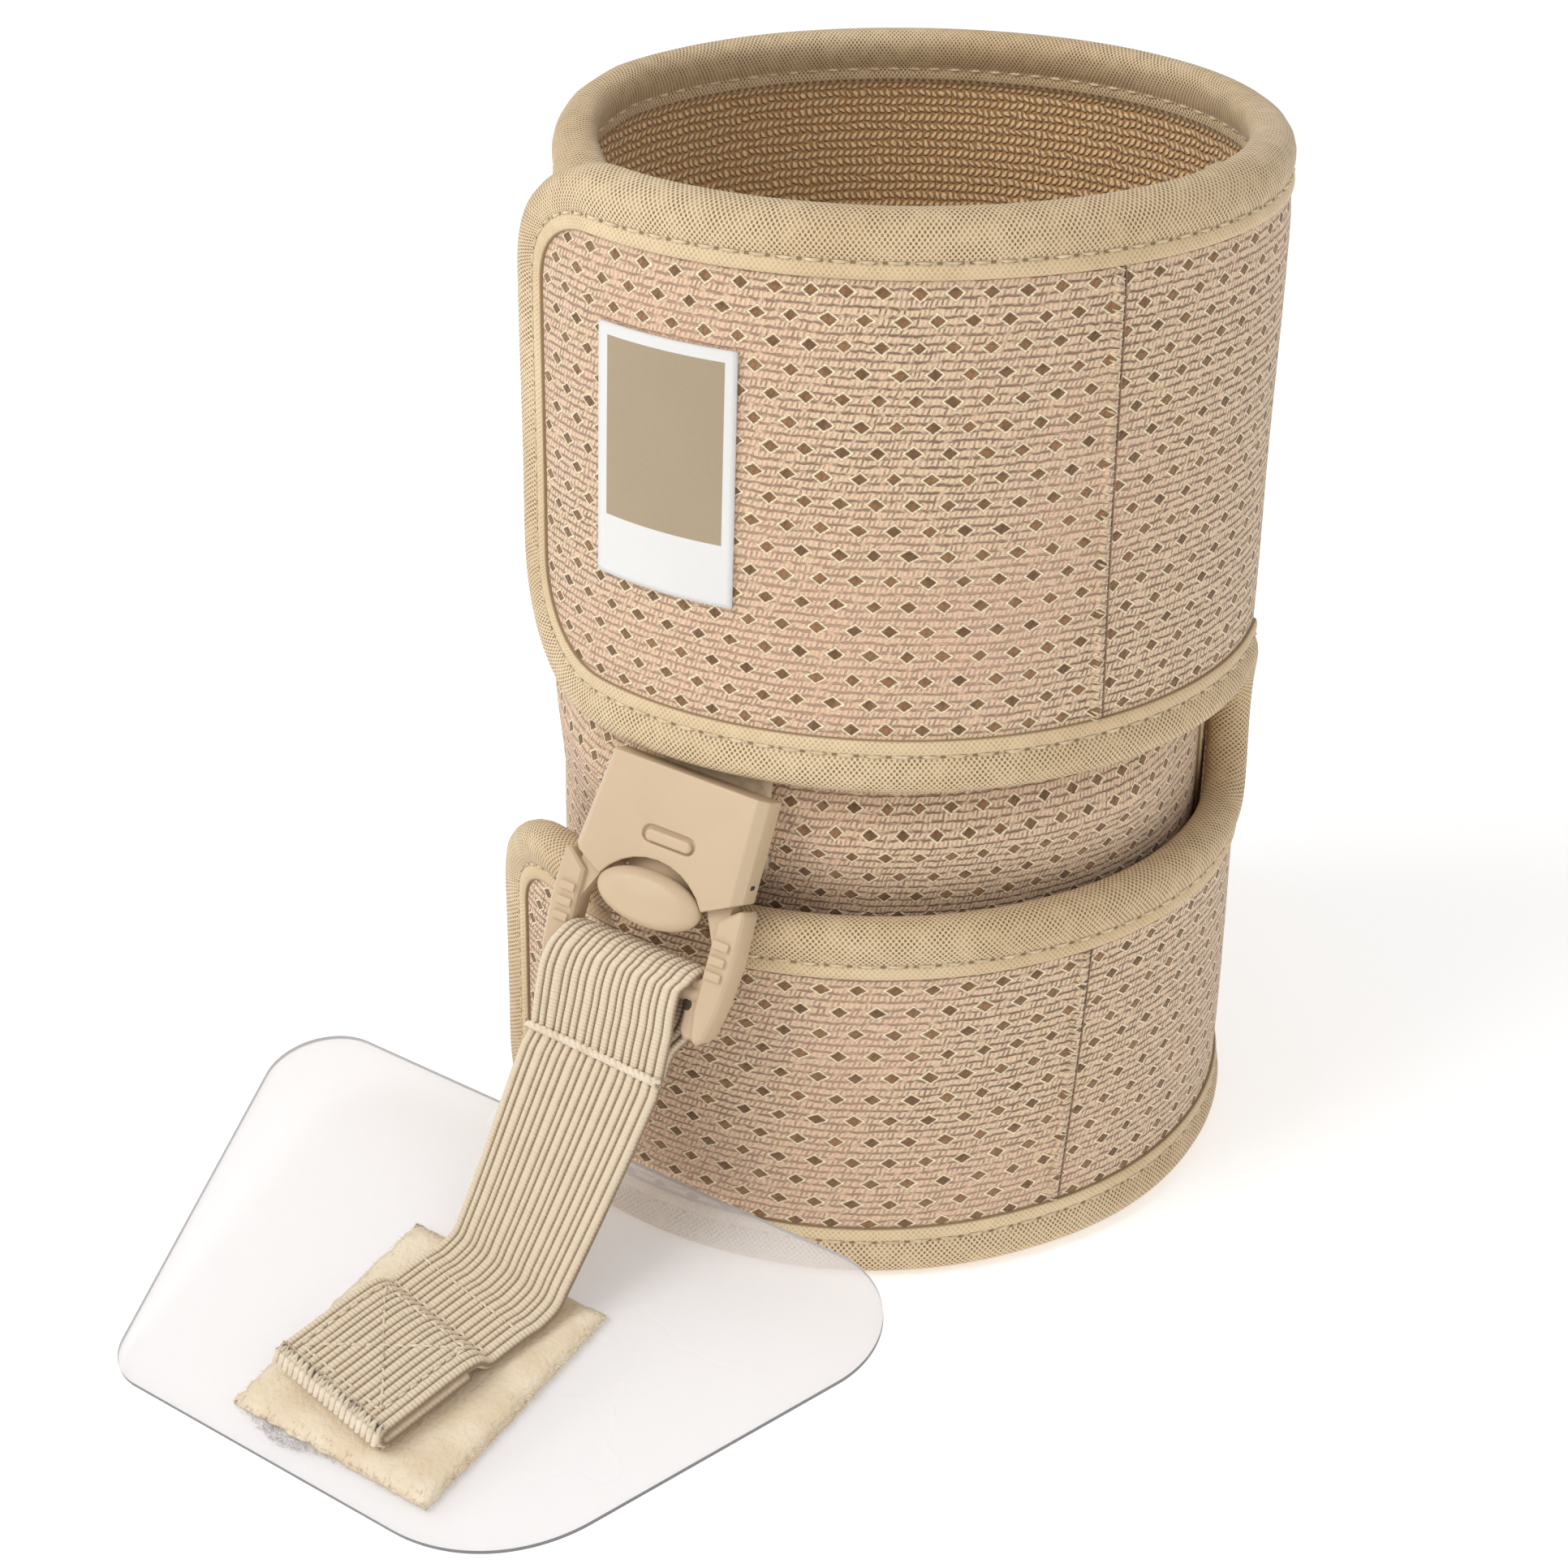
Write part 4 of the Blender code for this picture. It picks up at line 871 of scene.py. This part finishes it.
# dark blocks as painted shade in the notch in the housing's side and in the hole at the bar's end: middle and
# half sizes, in millimetres
holeShadows = (((11.7, 5.2, -2.5), (0.17, 0.36, 0.5)), ((8.3, -10.4, -1.3), (0.62, 0.78, 0.33)))
# size and height of the slot's raised bar, from its foot up
pillLevels = ((1.0, -0.7 * mm), (1.0, -0.05 * mm), (0.85, 0.16 * mm), (0.45, 0.22 * mm))


def buckleMatrix():
    azimuth, tilt, lean = (radians(buckle[key]) for key in ("azimuth", "tilt", "lean"))
    flatOut = Vector((sin(azimuth), -cos(azimuth), 0))
    across = Vector((cos(azimuth), sin(azimuth), 0))
    out = flatOut * cos(tilt) + Vector((0, 0, sin(tilt)))
    up = out.cross(across)
    along = up * cos(lean) + across * sin(lean)
    side = across * cos(lean) - up * sin(lean)
    matrix = Matrix((side, along, out)).transposed().to_4x4()
    matrix.translation = buckle["place"] + floorShift
    return matrix


onBuckle = buckleMatrix()


def roundedCopy(name, node, body, width, segments=3):
    # the CAD solid with its edges softened as a mould leaves them
    shape = bmesh.new()
    shape.from_mesh(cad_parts[node].data)
    bmesh.ops.remove_doubles(shape, verts=shape.verts, dist=0.00001)
    bmesh.ops.dissolve_limit(shape, angle_limit=radians(1.5), verts=shape.verts, edges=shape.edges)
    piece = addPiece(name, meshFrom(name, shape), body, [plasticMaterial])
    soften(piece, width, segments, True)
    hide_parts(node)
    return piece


def makePill():
    # the raised bar inside the housing's slot
    shape = bmesh.new()
    radius = buckle["pillWidth"] / 2
    reach = buckle["pillLength"] / 2 - radius
    rings = []
    for size, height in pillLevels:
        ring = []
        for step in range(24):
            angle = 2 * pi * step / 24
            centre = reach if cos(angle) >= 0 else -reach
            x = buckle["pillX"] + centre + radius * size * cos(angle)
            y = buckle["pillY"] - 0.12 * mm + radius * size * sin(angle)
            ring.append(shape.verts.new(onBuckle @ Vector((x, y, height))))
        rings.append(ring)
    joinRings(shape, rings)
    shape.faces.new(rings[-1])
    addPiece("slotPill", meshFrom("slotPill", shape), "brace", [plasticMaterial])


def makeButton():
    # a smooth dome with a slightly raised oval face, and the tongue it bends on
    shape = bmesh.new()
    middle = (buckle["buttonRise"] + buckle["buttonBack"]) / 2
    bmesh.ops.create_uvsphere(shape, u_segments=48, v_segments=28, radius=1.0)
    for vertex in shape.verts:
        flat = hypot(vertex.co.x, vertex.co.y)
        dip = buckle["buttonCrown"] * ease((0.8 - flat) / 0.35) if vertex.co.z >= 0 else 0.0
        crown = vertex.co.z * (1 - dip)
        vertex.co = Vector((vertex.co.x * buckle["buttonHalfLength"], vertex.co.y * buckle["buttonHalfWidth"],
                            middle + crown * (buckle["buttonRise"] - middle)))
    wide, long, thick = buckle["tongue"]
    for vertex in bmesh.ops.create_cube(shape, size=1.0)["verts"]:
        vertex.co = Vector((vertex.co.x * wide, (vertex.co.y + 0.5) * long,
                            buckle["tongueZ"] + vertex.co.z * thick))
    bmesh.ops.transform(shape, matrix=onBuckle, verts=shape.verts)
    mesh = meshFrom("releaseButton", shape)
    piece = addPiece("releaseButton", mesh, "button", [plasticMaterial])
    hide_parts("release_button")


def fitHousing(place):
    # the face narrows to its top on the left, and the slot sits a little to the right
    if place.x < -6 * mm and place.y > buckle["narrowFrom"]:
        place.x *= 1 - buckle["topNarrowing"] * (place.y - buckle["narrowFrom"]) / buckle["narrowOver"]
    if abs(place.x) < 4 * mm and abs(place.y - buckle["pillY"]) < 1.3 * mm:
        place.x += buckle["pillX"]
    return place


def reshape(piece, fit):
    toBuckle = onBuckle.inverted()
    for vertex in piece.data.vertices:
        vertex.co = onBuckle @ fit(toBuckle @ vertex.co)


def addPrism(shape, outline, low, high):
    # straight up the buckle's face, in millimetres
    base, top = ([shape.verts.new(onBuckle @ Vector((x * mm, y * mm, z * mm))) for x, y in outline]
                 for z in (low, high))
    joinRings(shape, (base, top))
    shape.faces.new(base[::-1])
    shape.faces.new(top)


def makeArmBlocks():
    # the thick lower ends of the arms, which take the bar
    shape = bmesh.new()
    for outline in (armEnd, [(-x, y) for x, y in armEnd[::-1]]):
        addPrism(shape, outline, *buckle["armEndLevels"])
    piece = addPiece("armEnds", meshFrom("armEnds", shape), "brace", [plasticMaterial])
    soften(piece, buckle["armEndRound"])


# near-black blocks as painted shade in the buckle's notch and hole
def makeHoleShadows():
    shape = bmesh.new()
    for (x, y, z), (halfX, halfY, halfZ) in holeShadows:
        turns = [2 * pi * (step + 0.5) / 12 for step in range(12)]
        outline = [(x + halfX * cos(turn), y + halfY * sin(turn)) for turn in turns]
        addPrism(shape, outline, z - halfZ, z + halfZ)
    mesh = meshFrom("recessShadows", shape)
    piece = addPiece("recessShadows", mesh, "brace", [recessShadeMaterial])
    soften(piece, 0.08 * mm, 2)


reshape(roundedCopy("buckleHousing", "buckle_housing", "brace", buckle["edgeRound"]), fitHousing)
roundedCopy("ladderFrame", "ladder_frame", "brace", buckle["edgeRound"] * 0.8, 2)
makeArmBlocks()
makeHoleShadows()
makePill()
makeButton()
print("buckle made")


# the plate

plate = {
    "x": -0.9 * mm, "frontY": -115.2 * mm, "turn": 3.2, "slope": 9.3, "frontHalf": 29.7 * mm,
    "backHalf": 53.6 * mm, "length": 59.4 * mm, "thickness": 0.8 * mm,
    "radii": (7.0 * mm, 20.0 * mm, 12.0 * mm, 8.5 * mm), "seenThickness": 0.56 * mm,
}


def plateMatrix():
    turn = Matrix.Rotation(radians(plate["turn"]), 4, "Z")
    slope = Matrix.Rotation(radians(plate["slope"]), 4, "X")
    return Matrix.Translation(floorShift + Vector((plate["x"], plate["frontY"], 0))) @ turn @ slope


onPlate = plateMatrix()


def makePlate():
    frontLeft, frontRight, backRight, backLeft = plate["radii"]
    outline = roundOutline(((-plate["frontHalf"], 0.0, frontLeft), (plate["frontHalf"], 0.0, frontRight),
                            (plate["backHalf"], plate["length"], backRight),
                            (-plate["backHalf"], plate["length"], backLeft)), 3.0)
    shape = bmesh.new()
    middle = plate["thickness"] / 2
    half = plate["seenThickness"] / 2
    lower, upper = ([shape.verts.new(onPlate @ Vector((x, y, middle + z))) for x, y in outline]
                    for z in (-half, half))
    shape.faces.new(upper)
    shape.faces.new(lower[::-1])
    # the rim faces take the painted edge shade
    for face in joinRings(shape, (lower, upper)):
        face.material_index = 1
    mesh = meshFrom("clearPlate", shape)
    mesh.shade_flat()
    piece = addPiece("clearPlate", mesh, "brace", [sheetMaterial, sheetEdgeShadeMaterial])
    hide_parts("inlay_plate")


makePlate()
print("plate made")


# the hook pad, with its fuzz

pad = {"x": 3.0 * mm, "y": 20.2 * mm, "width": 30.0 * mm, "length": 32.8 * mm, "low": 0.95 * mm,
       "high": 2.2 * mm, "grid": (30, 33), "edgeWander": 0.5 * mm, "edgeDrop": 0.7 * mm, "lumps": 0.1 * mm}
fibres = {"seed": 11, "width": 0.12 * mm, "edgeCount": 1300, "topCount": 900, "looseCount": 520,
          "looseX": -3.5 * mm, "looseSpread": 3.0 * mm, "looseReach": 1.9 * mm}


def makePad():
    shape = bmesh.new()
    columns, rows = pad["grid"]
    grid = []
    for column in range(columns + 1):
        line = []
        for row in range(rows + 1):
            u, v = column / columns - 0.5, row / rows - 0.5
            edge = min(0.5 - abs(u), 0.5 - abs(v))
            wander = noise.noise(Vector((column * 0.7, row * 0.7, 2.1))) * pad["edgeWander"]
            x = pad["x"] + u * pad["width"] + (wander if abs(u) > 0.499 else 0.0)
            y = pad["y"] + v * pad["length"] + (wander if abs(v) > 0.499 else 0.0)
            crown = pad["high"] - pad["edgeDrop"] * (1 - ease(edge / 0.05))
            crown += noise.noise(Vector((column, row, 0.5)) * 0.3) * pad["lumps"]
            line.append([shape.verts.new(onPlate @ Vector((x, y, z))) for z in (crown, pad["low"])])
        grid.append(line)
    for left, right in zip(grid, grid[1:]):
        for a, b, c, d in zip(left, left[1:], right[1:], right):
            shape.faces.new((a[0], b[0], c[0], d[0]))
            shape.faces.new((d[1], c[1], b[1], a[1]))
    border = [grid[c][0] for c in range(columns + 1)] + [grid[columns][r] for r in range(1, rows + 1)]
    border += [grid[c][rows] for c in range(columns - 1, -1, -1)] + [grid[0][r] for r in range(rows - 1, 0, -1)]
    for here, there in zip(border, border[1:] + border[:1]):
        shape.faces.new((here[0], there[0], there[1], here[1]))
    piece = addPiece("hookPad", meshFrom("hookPad", shape), "brace", [padMaterial])
    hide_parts("hook_pad")


def addFibre(shape, root, tip, bend):
    # a flat hair with one bend, between two places on the plate
    side = (tip - root).normalized().orthogonal().normalized() * fibres["width"] / 2
    middle = (root + tip) / 2 + bend
    corners = (root - side, root + side, middle + side * 0.8, middle - side * 0.8)
    a, b, c, d = (shape.verts.new(onPlate @ corner) for corner in corners)
    end = shape.verts.new(onPlate @ tip)
    shape.faces.new((a, b, c, d))
    shape.faces.new((d, c, end))


def makeFuzz():
    chance = Random(fibres["seed"])
    outwards = {"f": Vector((0, -1, 0)), "b": Vector((0, 1, 0)),
                "l": Vector((-1, 0, 0)), "r": Vector((1, 0, 0))}
    halfWidth, halfLength = pad["width"] / 2, pad["length"] / 2
    shape = bmesh.new()
    for count in range(fibres["edgeCount"]):
        outward = outwards[chance.choice("frlb" if count % 3 else "fr")]  # more at the front and right
        run = chance.uniform(-1, 1)
        across = Vector((outward.y, outward.x, 0))
        root = Vector((pad["x"], pad["y"], chance.uniform(pad["low"], pad["high"] - 0.5 * mm)))
        root += Vector((outward.x * halfWidth, outward.y * halfLength, 0)) * 0.985
        root += Vector((across.x * halfWidth, across.y * halfLength, 0)) * run
        tip = root + (outward * chance.uniform(0.15, 0.75) + across * chance.uniform(-0.4, 0.4)) * mm
        tip.z = max(0.9 * mm, root.z + chance.uniform(-0.9, 0.25) * mm)
        addFibre(shape, root, tip, Vector((0, 0, chance.uniform(0, 0.2) * mm)))
    for count in range(fibres["topCount"]):
        x, y = pad["x"] + chance.uniform(-1, 1) * halfWidth, pad["y"] + chance.uniform(-1, 1) * halfLength
        root = Vector((x, y, pad["high"] - 0.25 * mm))
        reach = (chance.uniform(-0.3, 0.3), chance.uniform(-1.1, -0.5), chance.uniform(0.05, 0.28))
        addFibre(shape, root, root + Vector(reach) * mm, Vector((chance.uniform(-0.15, 0.15) * mm, 0, 0)))
    addPiece("padFuzz", meshFrom("padFuzz", shape), "brace", [padMaterial])

    # a tuft that lies on the plate in front of the pad
    shape = bmesh.new()
    for count in range(fibres["looseCount"]):
        run = chance.gauss(0, 1)
        away = chance.uniform(-fibres["looseReach"], 0.4 * mm) * max(0.2, 1 - abs(run) / 2.4)
        root = Vector((fibres["looseX"] + run * fibres["looseSpread"], pad["y"] - halfLength + away,
                       plate["thickness"] + 0.05 * mm))
        reach = (chance.uniform(-0.7, 0.7), chance.uniform(-0.6, 0.5), chance.uniform(0.05, 0.5))
        addFibre(shape, root, root + Vector(reach) * mm, Vector((chance.uniform(-0.2, 0.2) * mm, 0, 0)))
    addPiece("looseFuzz", meshFrom("looseFuzz", shape), "brace", [fuzzMaterial])


makePad()
makeFuzz()
print("pad made")


# the elastic strap

strap = {
    "width": 20.0 * mm, "thickness": 1.5 * mm, "seamDistance": 11.4 * mm, "underlap": 12.0 * mm,
    "endX": -0.1 * mm, "endY": 9.5 * mm, "skew": 0.18, "ribHeight": 0.38 * mm, "step": 0.6 * mm,
    "ribWidths": (1.1, 0.8, 1.2, 0.75, 1.0, 0.9, 1.2, 0.8, 1.1, 1.0, 0.8, 1.2, 0.9, 1.1, 0.8, 1.15, 1.0),
    "padThickness": 1.2 * mm, "gap": 0.3 * mm,
}
ribShape = ((0.0, 0.0), (0.1, 0.4), (0.26, 0.86), (0.5, 1.0), (0.74, 0.86), (0.9, 0.4))


def splinePoint(before, start, end, after, share):
    square, cube = share ** 2, share ** 3
    return 0.5 * ((2 * start) + (end - before) * share + (2 * before - 5 * start + 4 * end - after) * square
                  + (3 * start - before - 3 * end + after) * cube)


def strapKnots():
    # middle point, sideways direction, width and left lift, from the cut end behind to the folded end;
    # a row is a place along the buckle, height off the bar, width, shift to the right and left lift
    side = onBuckle.to_3x3() @ Vector((1, 0, 0))
    reach = buckle["barRadius"] + strap["gap"] + strap["thickness"] / 2
    layer = (strap["thickness"] + 0.1 * mm) / 2
    barY, barZ = buckle["barY"], buckle["barZ"]
    seamY = barY - strap["seamDistance"]
    front = ((barY, reach, 18.5, -1.5, 0.9), (-11.5 * mm, 2.4 * mm, 18.9, -1.75, 1.0),
             (-14.5 * mm, 1.9 * mm, 19.2, -1.75, 0.8), (-17.5 * mm, 1.3 * mm, 19.2, -1.9, 0.4),
             (seamY, layer, 19.2, -2.0, 0.1))
    rows = [(y, -away, 18.4, -1.9 if index > 2 else -0.5, 0.0)
            for index, (y, away, width, shift, lift) in reversed(list(enumerate(front)))]
    for step in range(1, 8):
        angle = pi * step / 8
        late = max(0.0, step / 4 - 1)
        rows.append((barY + reach * sin(angle), -reach * cos(angle), 18.8, -0.15 - 1.1 * late, 0.75 * late))
    rows.extend(front)
    knots = [(onBuckle @ Vector((shift * mm, y, barZ + away)), side, width * mm, lift * mm)
             for y, away, width, shift, lift in rows]

    lying = plate["thickness"] + strap["gap"] + strap["padThickness"] + strap["gap"] + strap["thickness"] / 2
    folded = lying + strap["thickness"] + strap["gap"]
    padBack = pad["y"] + pad["length"] / 2
    flatSide = (onPlate.to_3x3() @ Vector((1, -strap["skew"], 0))).normalized()
    offPlate = onPlate.inverted()
    places = ((padBack - 0.06 * pad["length"], lying + 0.3 * strap["thickness"]),
              (padBack - 0.22 * pad["length"], lying),
              (strap["endY"] + strap["underlap"] + 2 * strap["thickness"], lying),
              (strap["endY"] + strap["underlap"], folded), (strap["endY"], folded))
    route = [onPlate @ Vector((strap["endX"] + strap["skew"] * (y - strap["endY"]), y, z)) for y, z in places]
    points = [knots[-2][0], knots[-1][0]] + route + [2 * route[-1] - route[-2]]
    startSide = knots[-1][1]
    for run in range(1, len(points) - 2):
        steps = 8 if run == 1 else 3
        for step in range(1, steps + 1):
            share = step / steps
            local = offPlate @ splinePoint(*points[run - 1:run + 3], share)
            local.z = max(local.z, lying)
            turned = ease(share) if run == 1 else 1.0
            knots.append((onPlate @ local, startSide.lerp(flatSide, turned).normalized(), strap["width"], 0.0))
    end = knots[-1][0]
    forward = (knots[-1][0] - knots[-2][0]).normalized()
    up = forward.cross(flatSide).normalized()
    radius = (folded - lying) / 2
    centre = end - up * radius
    for step in range(1, 7):
        angle = pi * step / 6
        point = centre + up * radius * cos(angle) + forward * radius * sin(angle)
        knots.append((point, flatSide, strap["width"], 0.0))
    for share in (0.5, 1.0):
        point = centre - up * radius - forward * strap["underlap"] * share
        knots.append((point, flatSide, strap["width"], 0.0))
    return knots, len(rows) - 1


def strapFrames():
    # the knots, drawn through at even steps; also the length at the seam
    knots, seamKnot = strapKnots()
    frames, length, seamAt = [], 0.0, 0.0
    for index in range(len(knots) - 1):
        quad = [knots[max(0, min(len(knots) - 1, index + shift))] for shift in (-1, 0, 1, 2)]
        run = (quad[2][0] - quad[1][0]).length
        steps = max(1, round(run / strap["step"]))
        if index == seamKnot:
            seamAt = length
        for step in range(steps):
            share = step / steps
            frames.append((splinePoint(*(knot[0] for knot in quad), share),
                           quad[1][1].lerp(quad[2][1], share).normalized(),
                           quad[1][2] * (1 - share) + quad[2][2] * share, length + run * share,
                           quad[1][3] * (1 - share) + quad[2][3] * share))
        length += run
    frames.append((*knots[-1][:3], length, knots[-1][3]))
    result = []
    for index, (point, side, width, place, lift) in enumerate(frames):
        before, after = frames[max(0, index - 1)][0], frames[min(len(frames) - 1, index + 1)][0]
        out = (after - before).cross(side).normalized()
        result.append((point, side, out, width, place, lift))
    return result, seamAt


def strapSection():
    # across the strap: share of the width, and groove-to-crest number
    total = sum(strap["ribWidths"])
    line, edge = [], -0.5
    for width in strap["ribWidths"]:
        line.extend((edge + share * width / total, height) for share, height in ribShape)
        edge += width / total
    line.append((0.5, 0.0))
    return line


def leftBow(across):
    return ease((-across - 0.2) / 0.28)


def makeStrap():
    frames, seamAt = strapFrames()
    line = strapSection()
    core = strap["thickness"] / 2 - strap["ribHeight"]
    shape = bmesh.new()
    uvLayer = shape.loops.layers.uv.new("lay")
    rings = []
    for point, side, out, width, place, leftLift in frames:
        ring = []
        for face in (1, -1):
            for across, height in (line if face > 0 else line[::-1]):
                edge = ease((0.5 - abs(across)) / 0.03)
                lift = (core * (0.35 + 0.65 * edge) + strap["ribHeight"] * height) * face
                lift += leftLift * leftBow(across)
                ring.append((shape.verts.new(point + side * (width * across) + out * lift), height))
        rings.append((ring, place / mm))
    for (ring, here), (following, there) in zip(rings, rings[1:]):
        for step in range(len(ring)):
            other = (step + 1) % len(ring)
            face = shape.faces.new((ring[step][0], ring[other][0], following[other][0], following[step][0]))
            layUv(face, uvLayer, ((here, ring[step][1]), (here, ring[other][1]),
                                  (there, following[other][1]), (there, following[step][1])))
    for ring, here in (rings[0], rings[-1]):
        face = shape.faces.new([vertex for vertex, height in ring])
        layUv(face, uvLayer, [(here, 0.7)] * len(ring))
    piece = addPiece("ribbedStrap", meshFrom("ribbedStrap", shape), "brace", [elasticMaterial])
    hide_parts("elastic_strap")
    return frames, seamAt


def onStrap(frames, along, across, lift):
    # a point on the strap's outer face: length along it, share of its width, height over it
    for a, b in zip(frames, frames[1:]):
        if a[4] <= along <= b[4]:
            share = (along - a[4]) / max(1e-9, b[4] - a[4])
            point, side, out = (a[part].lerp(b[part], share) for part in range(3))
            width, leftLift = (a[part] * (1 - share) + b[part] * share for part in (3, 5))
            lift += strap["thickness"] / 2 + leftLift * leftBow(across)
            return point + side * (width * across) + out * lift
    return frames[-1][0]


def addStitchRow(shape, frames, start, end, pitch, radius):
    # a row of short stitches between two (length, share of width) places
    run = hypot(end[0] - start[0], (end[1] - start[1]) * strap["width"])
    count = max(1, round(run / pitch))
    for index in range(count):
        points = []
        for part, lift in ((0.0, -0.3), (0.22, 0.06), (0.55, 0.06), (0.78, -0.3)):
            share = (index + part) / count
            along = start[0] + (end[0] - start[0]) * share
            across = start[1] + (end[1] - start[1]) * share
            points.append(onStrap(frames, along, across, lift * mm))
        addThread(shape, points, radius, 5)


# the cord over the seam, the crossed box on the pad with two rows behind it, and loops over the fold
sewing = {"cordRadius": 0.34 * mm, "cordSwing": 0.3 * mm, "cordTurns": 12, "pitch": 1.7 * mm,
          "foldBack": 2.6 * mm, "boxFront": 1.6 * mm, "boxBack": 13.5 * mm, "boxShare": 0.38,
          "boxRadius": 0.17 * mm, "rows": (2.6 * mm, 7.4 * mm), "rowShare": 0.44, "rowRadius": 0.16 * mm,
          "loops": 20, "loopShare": 0.472, "loopRadius": 0.42 * mm}
# shift along the strap, slant as a share of its width and height over it
loopShape = ((-0.8, 0.01, -0.4), (-0.3, 0.006, -0.05), (0.4, 0.002, 0.04), (1.2, -0.002, 0.06),
             (2.0, -0.006, 0.04), (2.7, -0.01, -0.3))


def makeStrapStitches(frames, seamAt):
    shape = bmesh.new()
    steps = 8 * sewing["cordTurns"]
    for turn in (0, 1):
        points = []
        for step in range(steps + 1):
            across = -0.53 + 1.06 * step / steps
            angle = step * 2 * pi / 8 + turn * pi
            along = seamAt + across * 0.9 * mm + sewing["cordSwing"] * sin(angle)
            lift = (0.12 + 0.16 * cos(angle)) * mm
            points.append(onStrap(frames, along, max(-0.5, min(0.5, across)), lift))
        addThread(shape, points, sewing["cordRadius"], 7)
    last = frames[-1][4] - strap["underlap"] - sewing["foldBack"]
    front, back, half = last - sewing["boxFront"], last - sewing["boxBack"], sewing["boxShare"]
    corners = ((back, -half), (back, half), (front, half), (front, -half))
    for a, b in ((0, 1), (1, 2), (2, 3), (3, 0), (0, 2), (1, 3)):
        addStitchRow(shape, frames, corners[a], corners[b], sewing["pitch"], sewing["boxRadius"])
    for row in sewing["rows"]:
        start, end = (back - row, -sewing["rowShare"]), (back - row, sewing["rowShare"])
        addStitchRow(shape, frames, start, end, sewing["pitch"], sewing["rowRadius"])
    for index in range(sewing["loops"]):
        across = sewing["loopShare"] * (2 * index / (sewing["loops"] - 1) - 1)
        points = [onStrap(frames, last + shift * mm, across + slant, lift * mm)
                  for shift, slant, lift in loopShape]
        addThread(shape, points, sewing["loopRadius"], 8)
    addPiece("strapStitches", meshFrom("strapStitches", shape), "brace", [strapThreadMaterial])


madeFrames, madeSeam = makeStrap()
makeStrapStitches(madeFrames, madeSeam)
print("strap made")


# floor, light and camera

# a lamp is its place, size and power
studio = {"floor": (0.95, 0.95, 0.95), "floorGlow": 0.38, "worldStrength": 0.54, "aim": (0, 0, 0.05),
          "key": ((-0.35, -0.55, 0.75), 0.6, 5.0), "fill": ((0.6, -0.2, 0.5), 0.5, 0.8)}
photoCamera = {"distance": 0.330, "height": 0.226, "around": 36.0, "pan": -0.0495, "tilt": 0.5139,
               "lens": 64.537, "sensor": 36.0}


def makeStudio():
    shape = bmesh.new()
    bmesh.ops.create_grid(shape, x_segments=1, y_segments=1, size=4.0)
    floor = bpy.data.objects.new("studioFloor", meshFrom("studioFloor", shape))
    floor.location.z = -0.0002
    bpy.context.scene.collection.objects.link(floor)
    material, tree, shader = newMaterial("studio floor", 0.9)
    shader.inputs["Base Color"].default_value = (*studio["floor"], 1.0)
    shader.inputs["Emission Color"].default_value = (1.0, 1.0, 1.0, 1.0)
    shader.inputs["Emission Strength"].default_value = studio["floorGlow"]
    floor.data.materials.append(material)
    world = bpy.data.worlds.new("softWhite")
    bpy.context.scene.world = world
    world.use_nodes = True
    background = world.node_tree.nodes["Background"]
    background.inputs["Color"].default_value = (1.0, 1.0, 1.0, 1.0)
    background.inputs["Strength"].default_value = studio["worldStrength"]
    for name in ("key", "fill"):
        where, size, power = studio[name]
        light = bpy.data.lights.new(name, "AREA")
        light.size = size
        light.energy = power
        lamp = bpy.data.objects.new(name, light)
        lamp.location = where
        lamp.rotation_euler = (Vector(studio["aim"]) - Vector(where)).to_track_quat("-Z", "Y").to_euler()
        bpy.context.scene.collection.objects.link(lamp)


def makeCamera():
    around = Matrix.Rotation(radians(photoCamera["around"]), 3, "Z")
    pan, tilt = photoCamera["pan"], photoCamera["tilt"]
    right = around @ Vector((cos(pan), -sin(pan), 0))
    forward = around @ Vector((sin(pan) * cos(tilt), cos(pan) * cos(tilt), -sin(tilt)))
    up = right.cross(forward)
    data = bpy.data.cameras.new("photoCamera")
    data.lens = photoCamera["lens"]
    data.sensor_width = photoCamera["sensor"]
    data.clip_start = 0.01
    camera = bpy.data.objects.new("photoCamera", data)
    matrix = Matrix((right, up, -forward)).transposed().to_4x4()
    matrix.translation = around @ Vector((0, -photoCamera["distance"], photoCamera["height"])) + floorShift
    camera.matrix_world = matrix
    bpy.context.scene.collection.objects.link(camera)
    bpy.context.scene.camera = camera


makeStudio()
makeCamera()
bpy.context.scene.view_settings.view_transform = "Standard"
print("studio made")

bpy.context.view_layer.update()
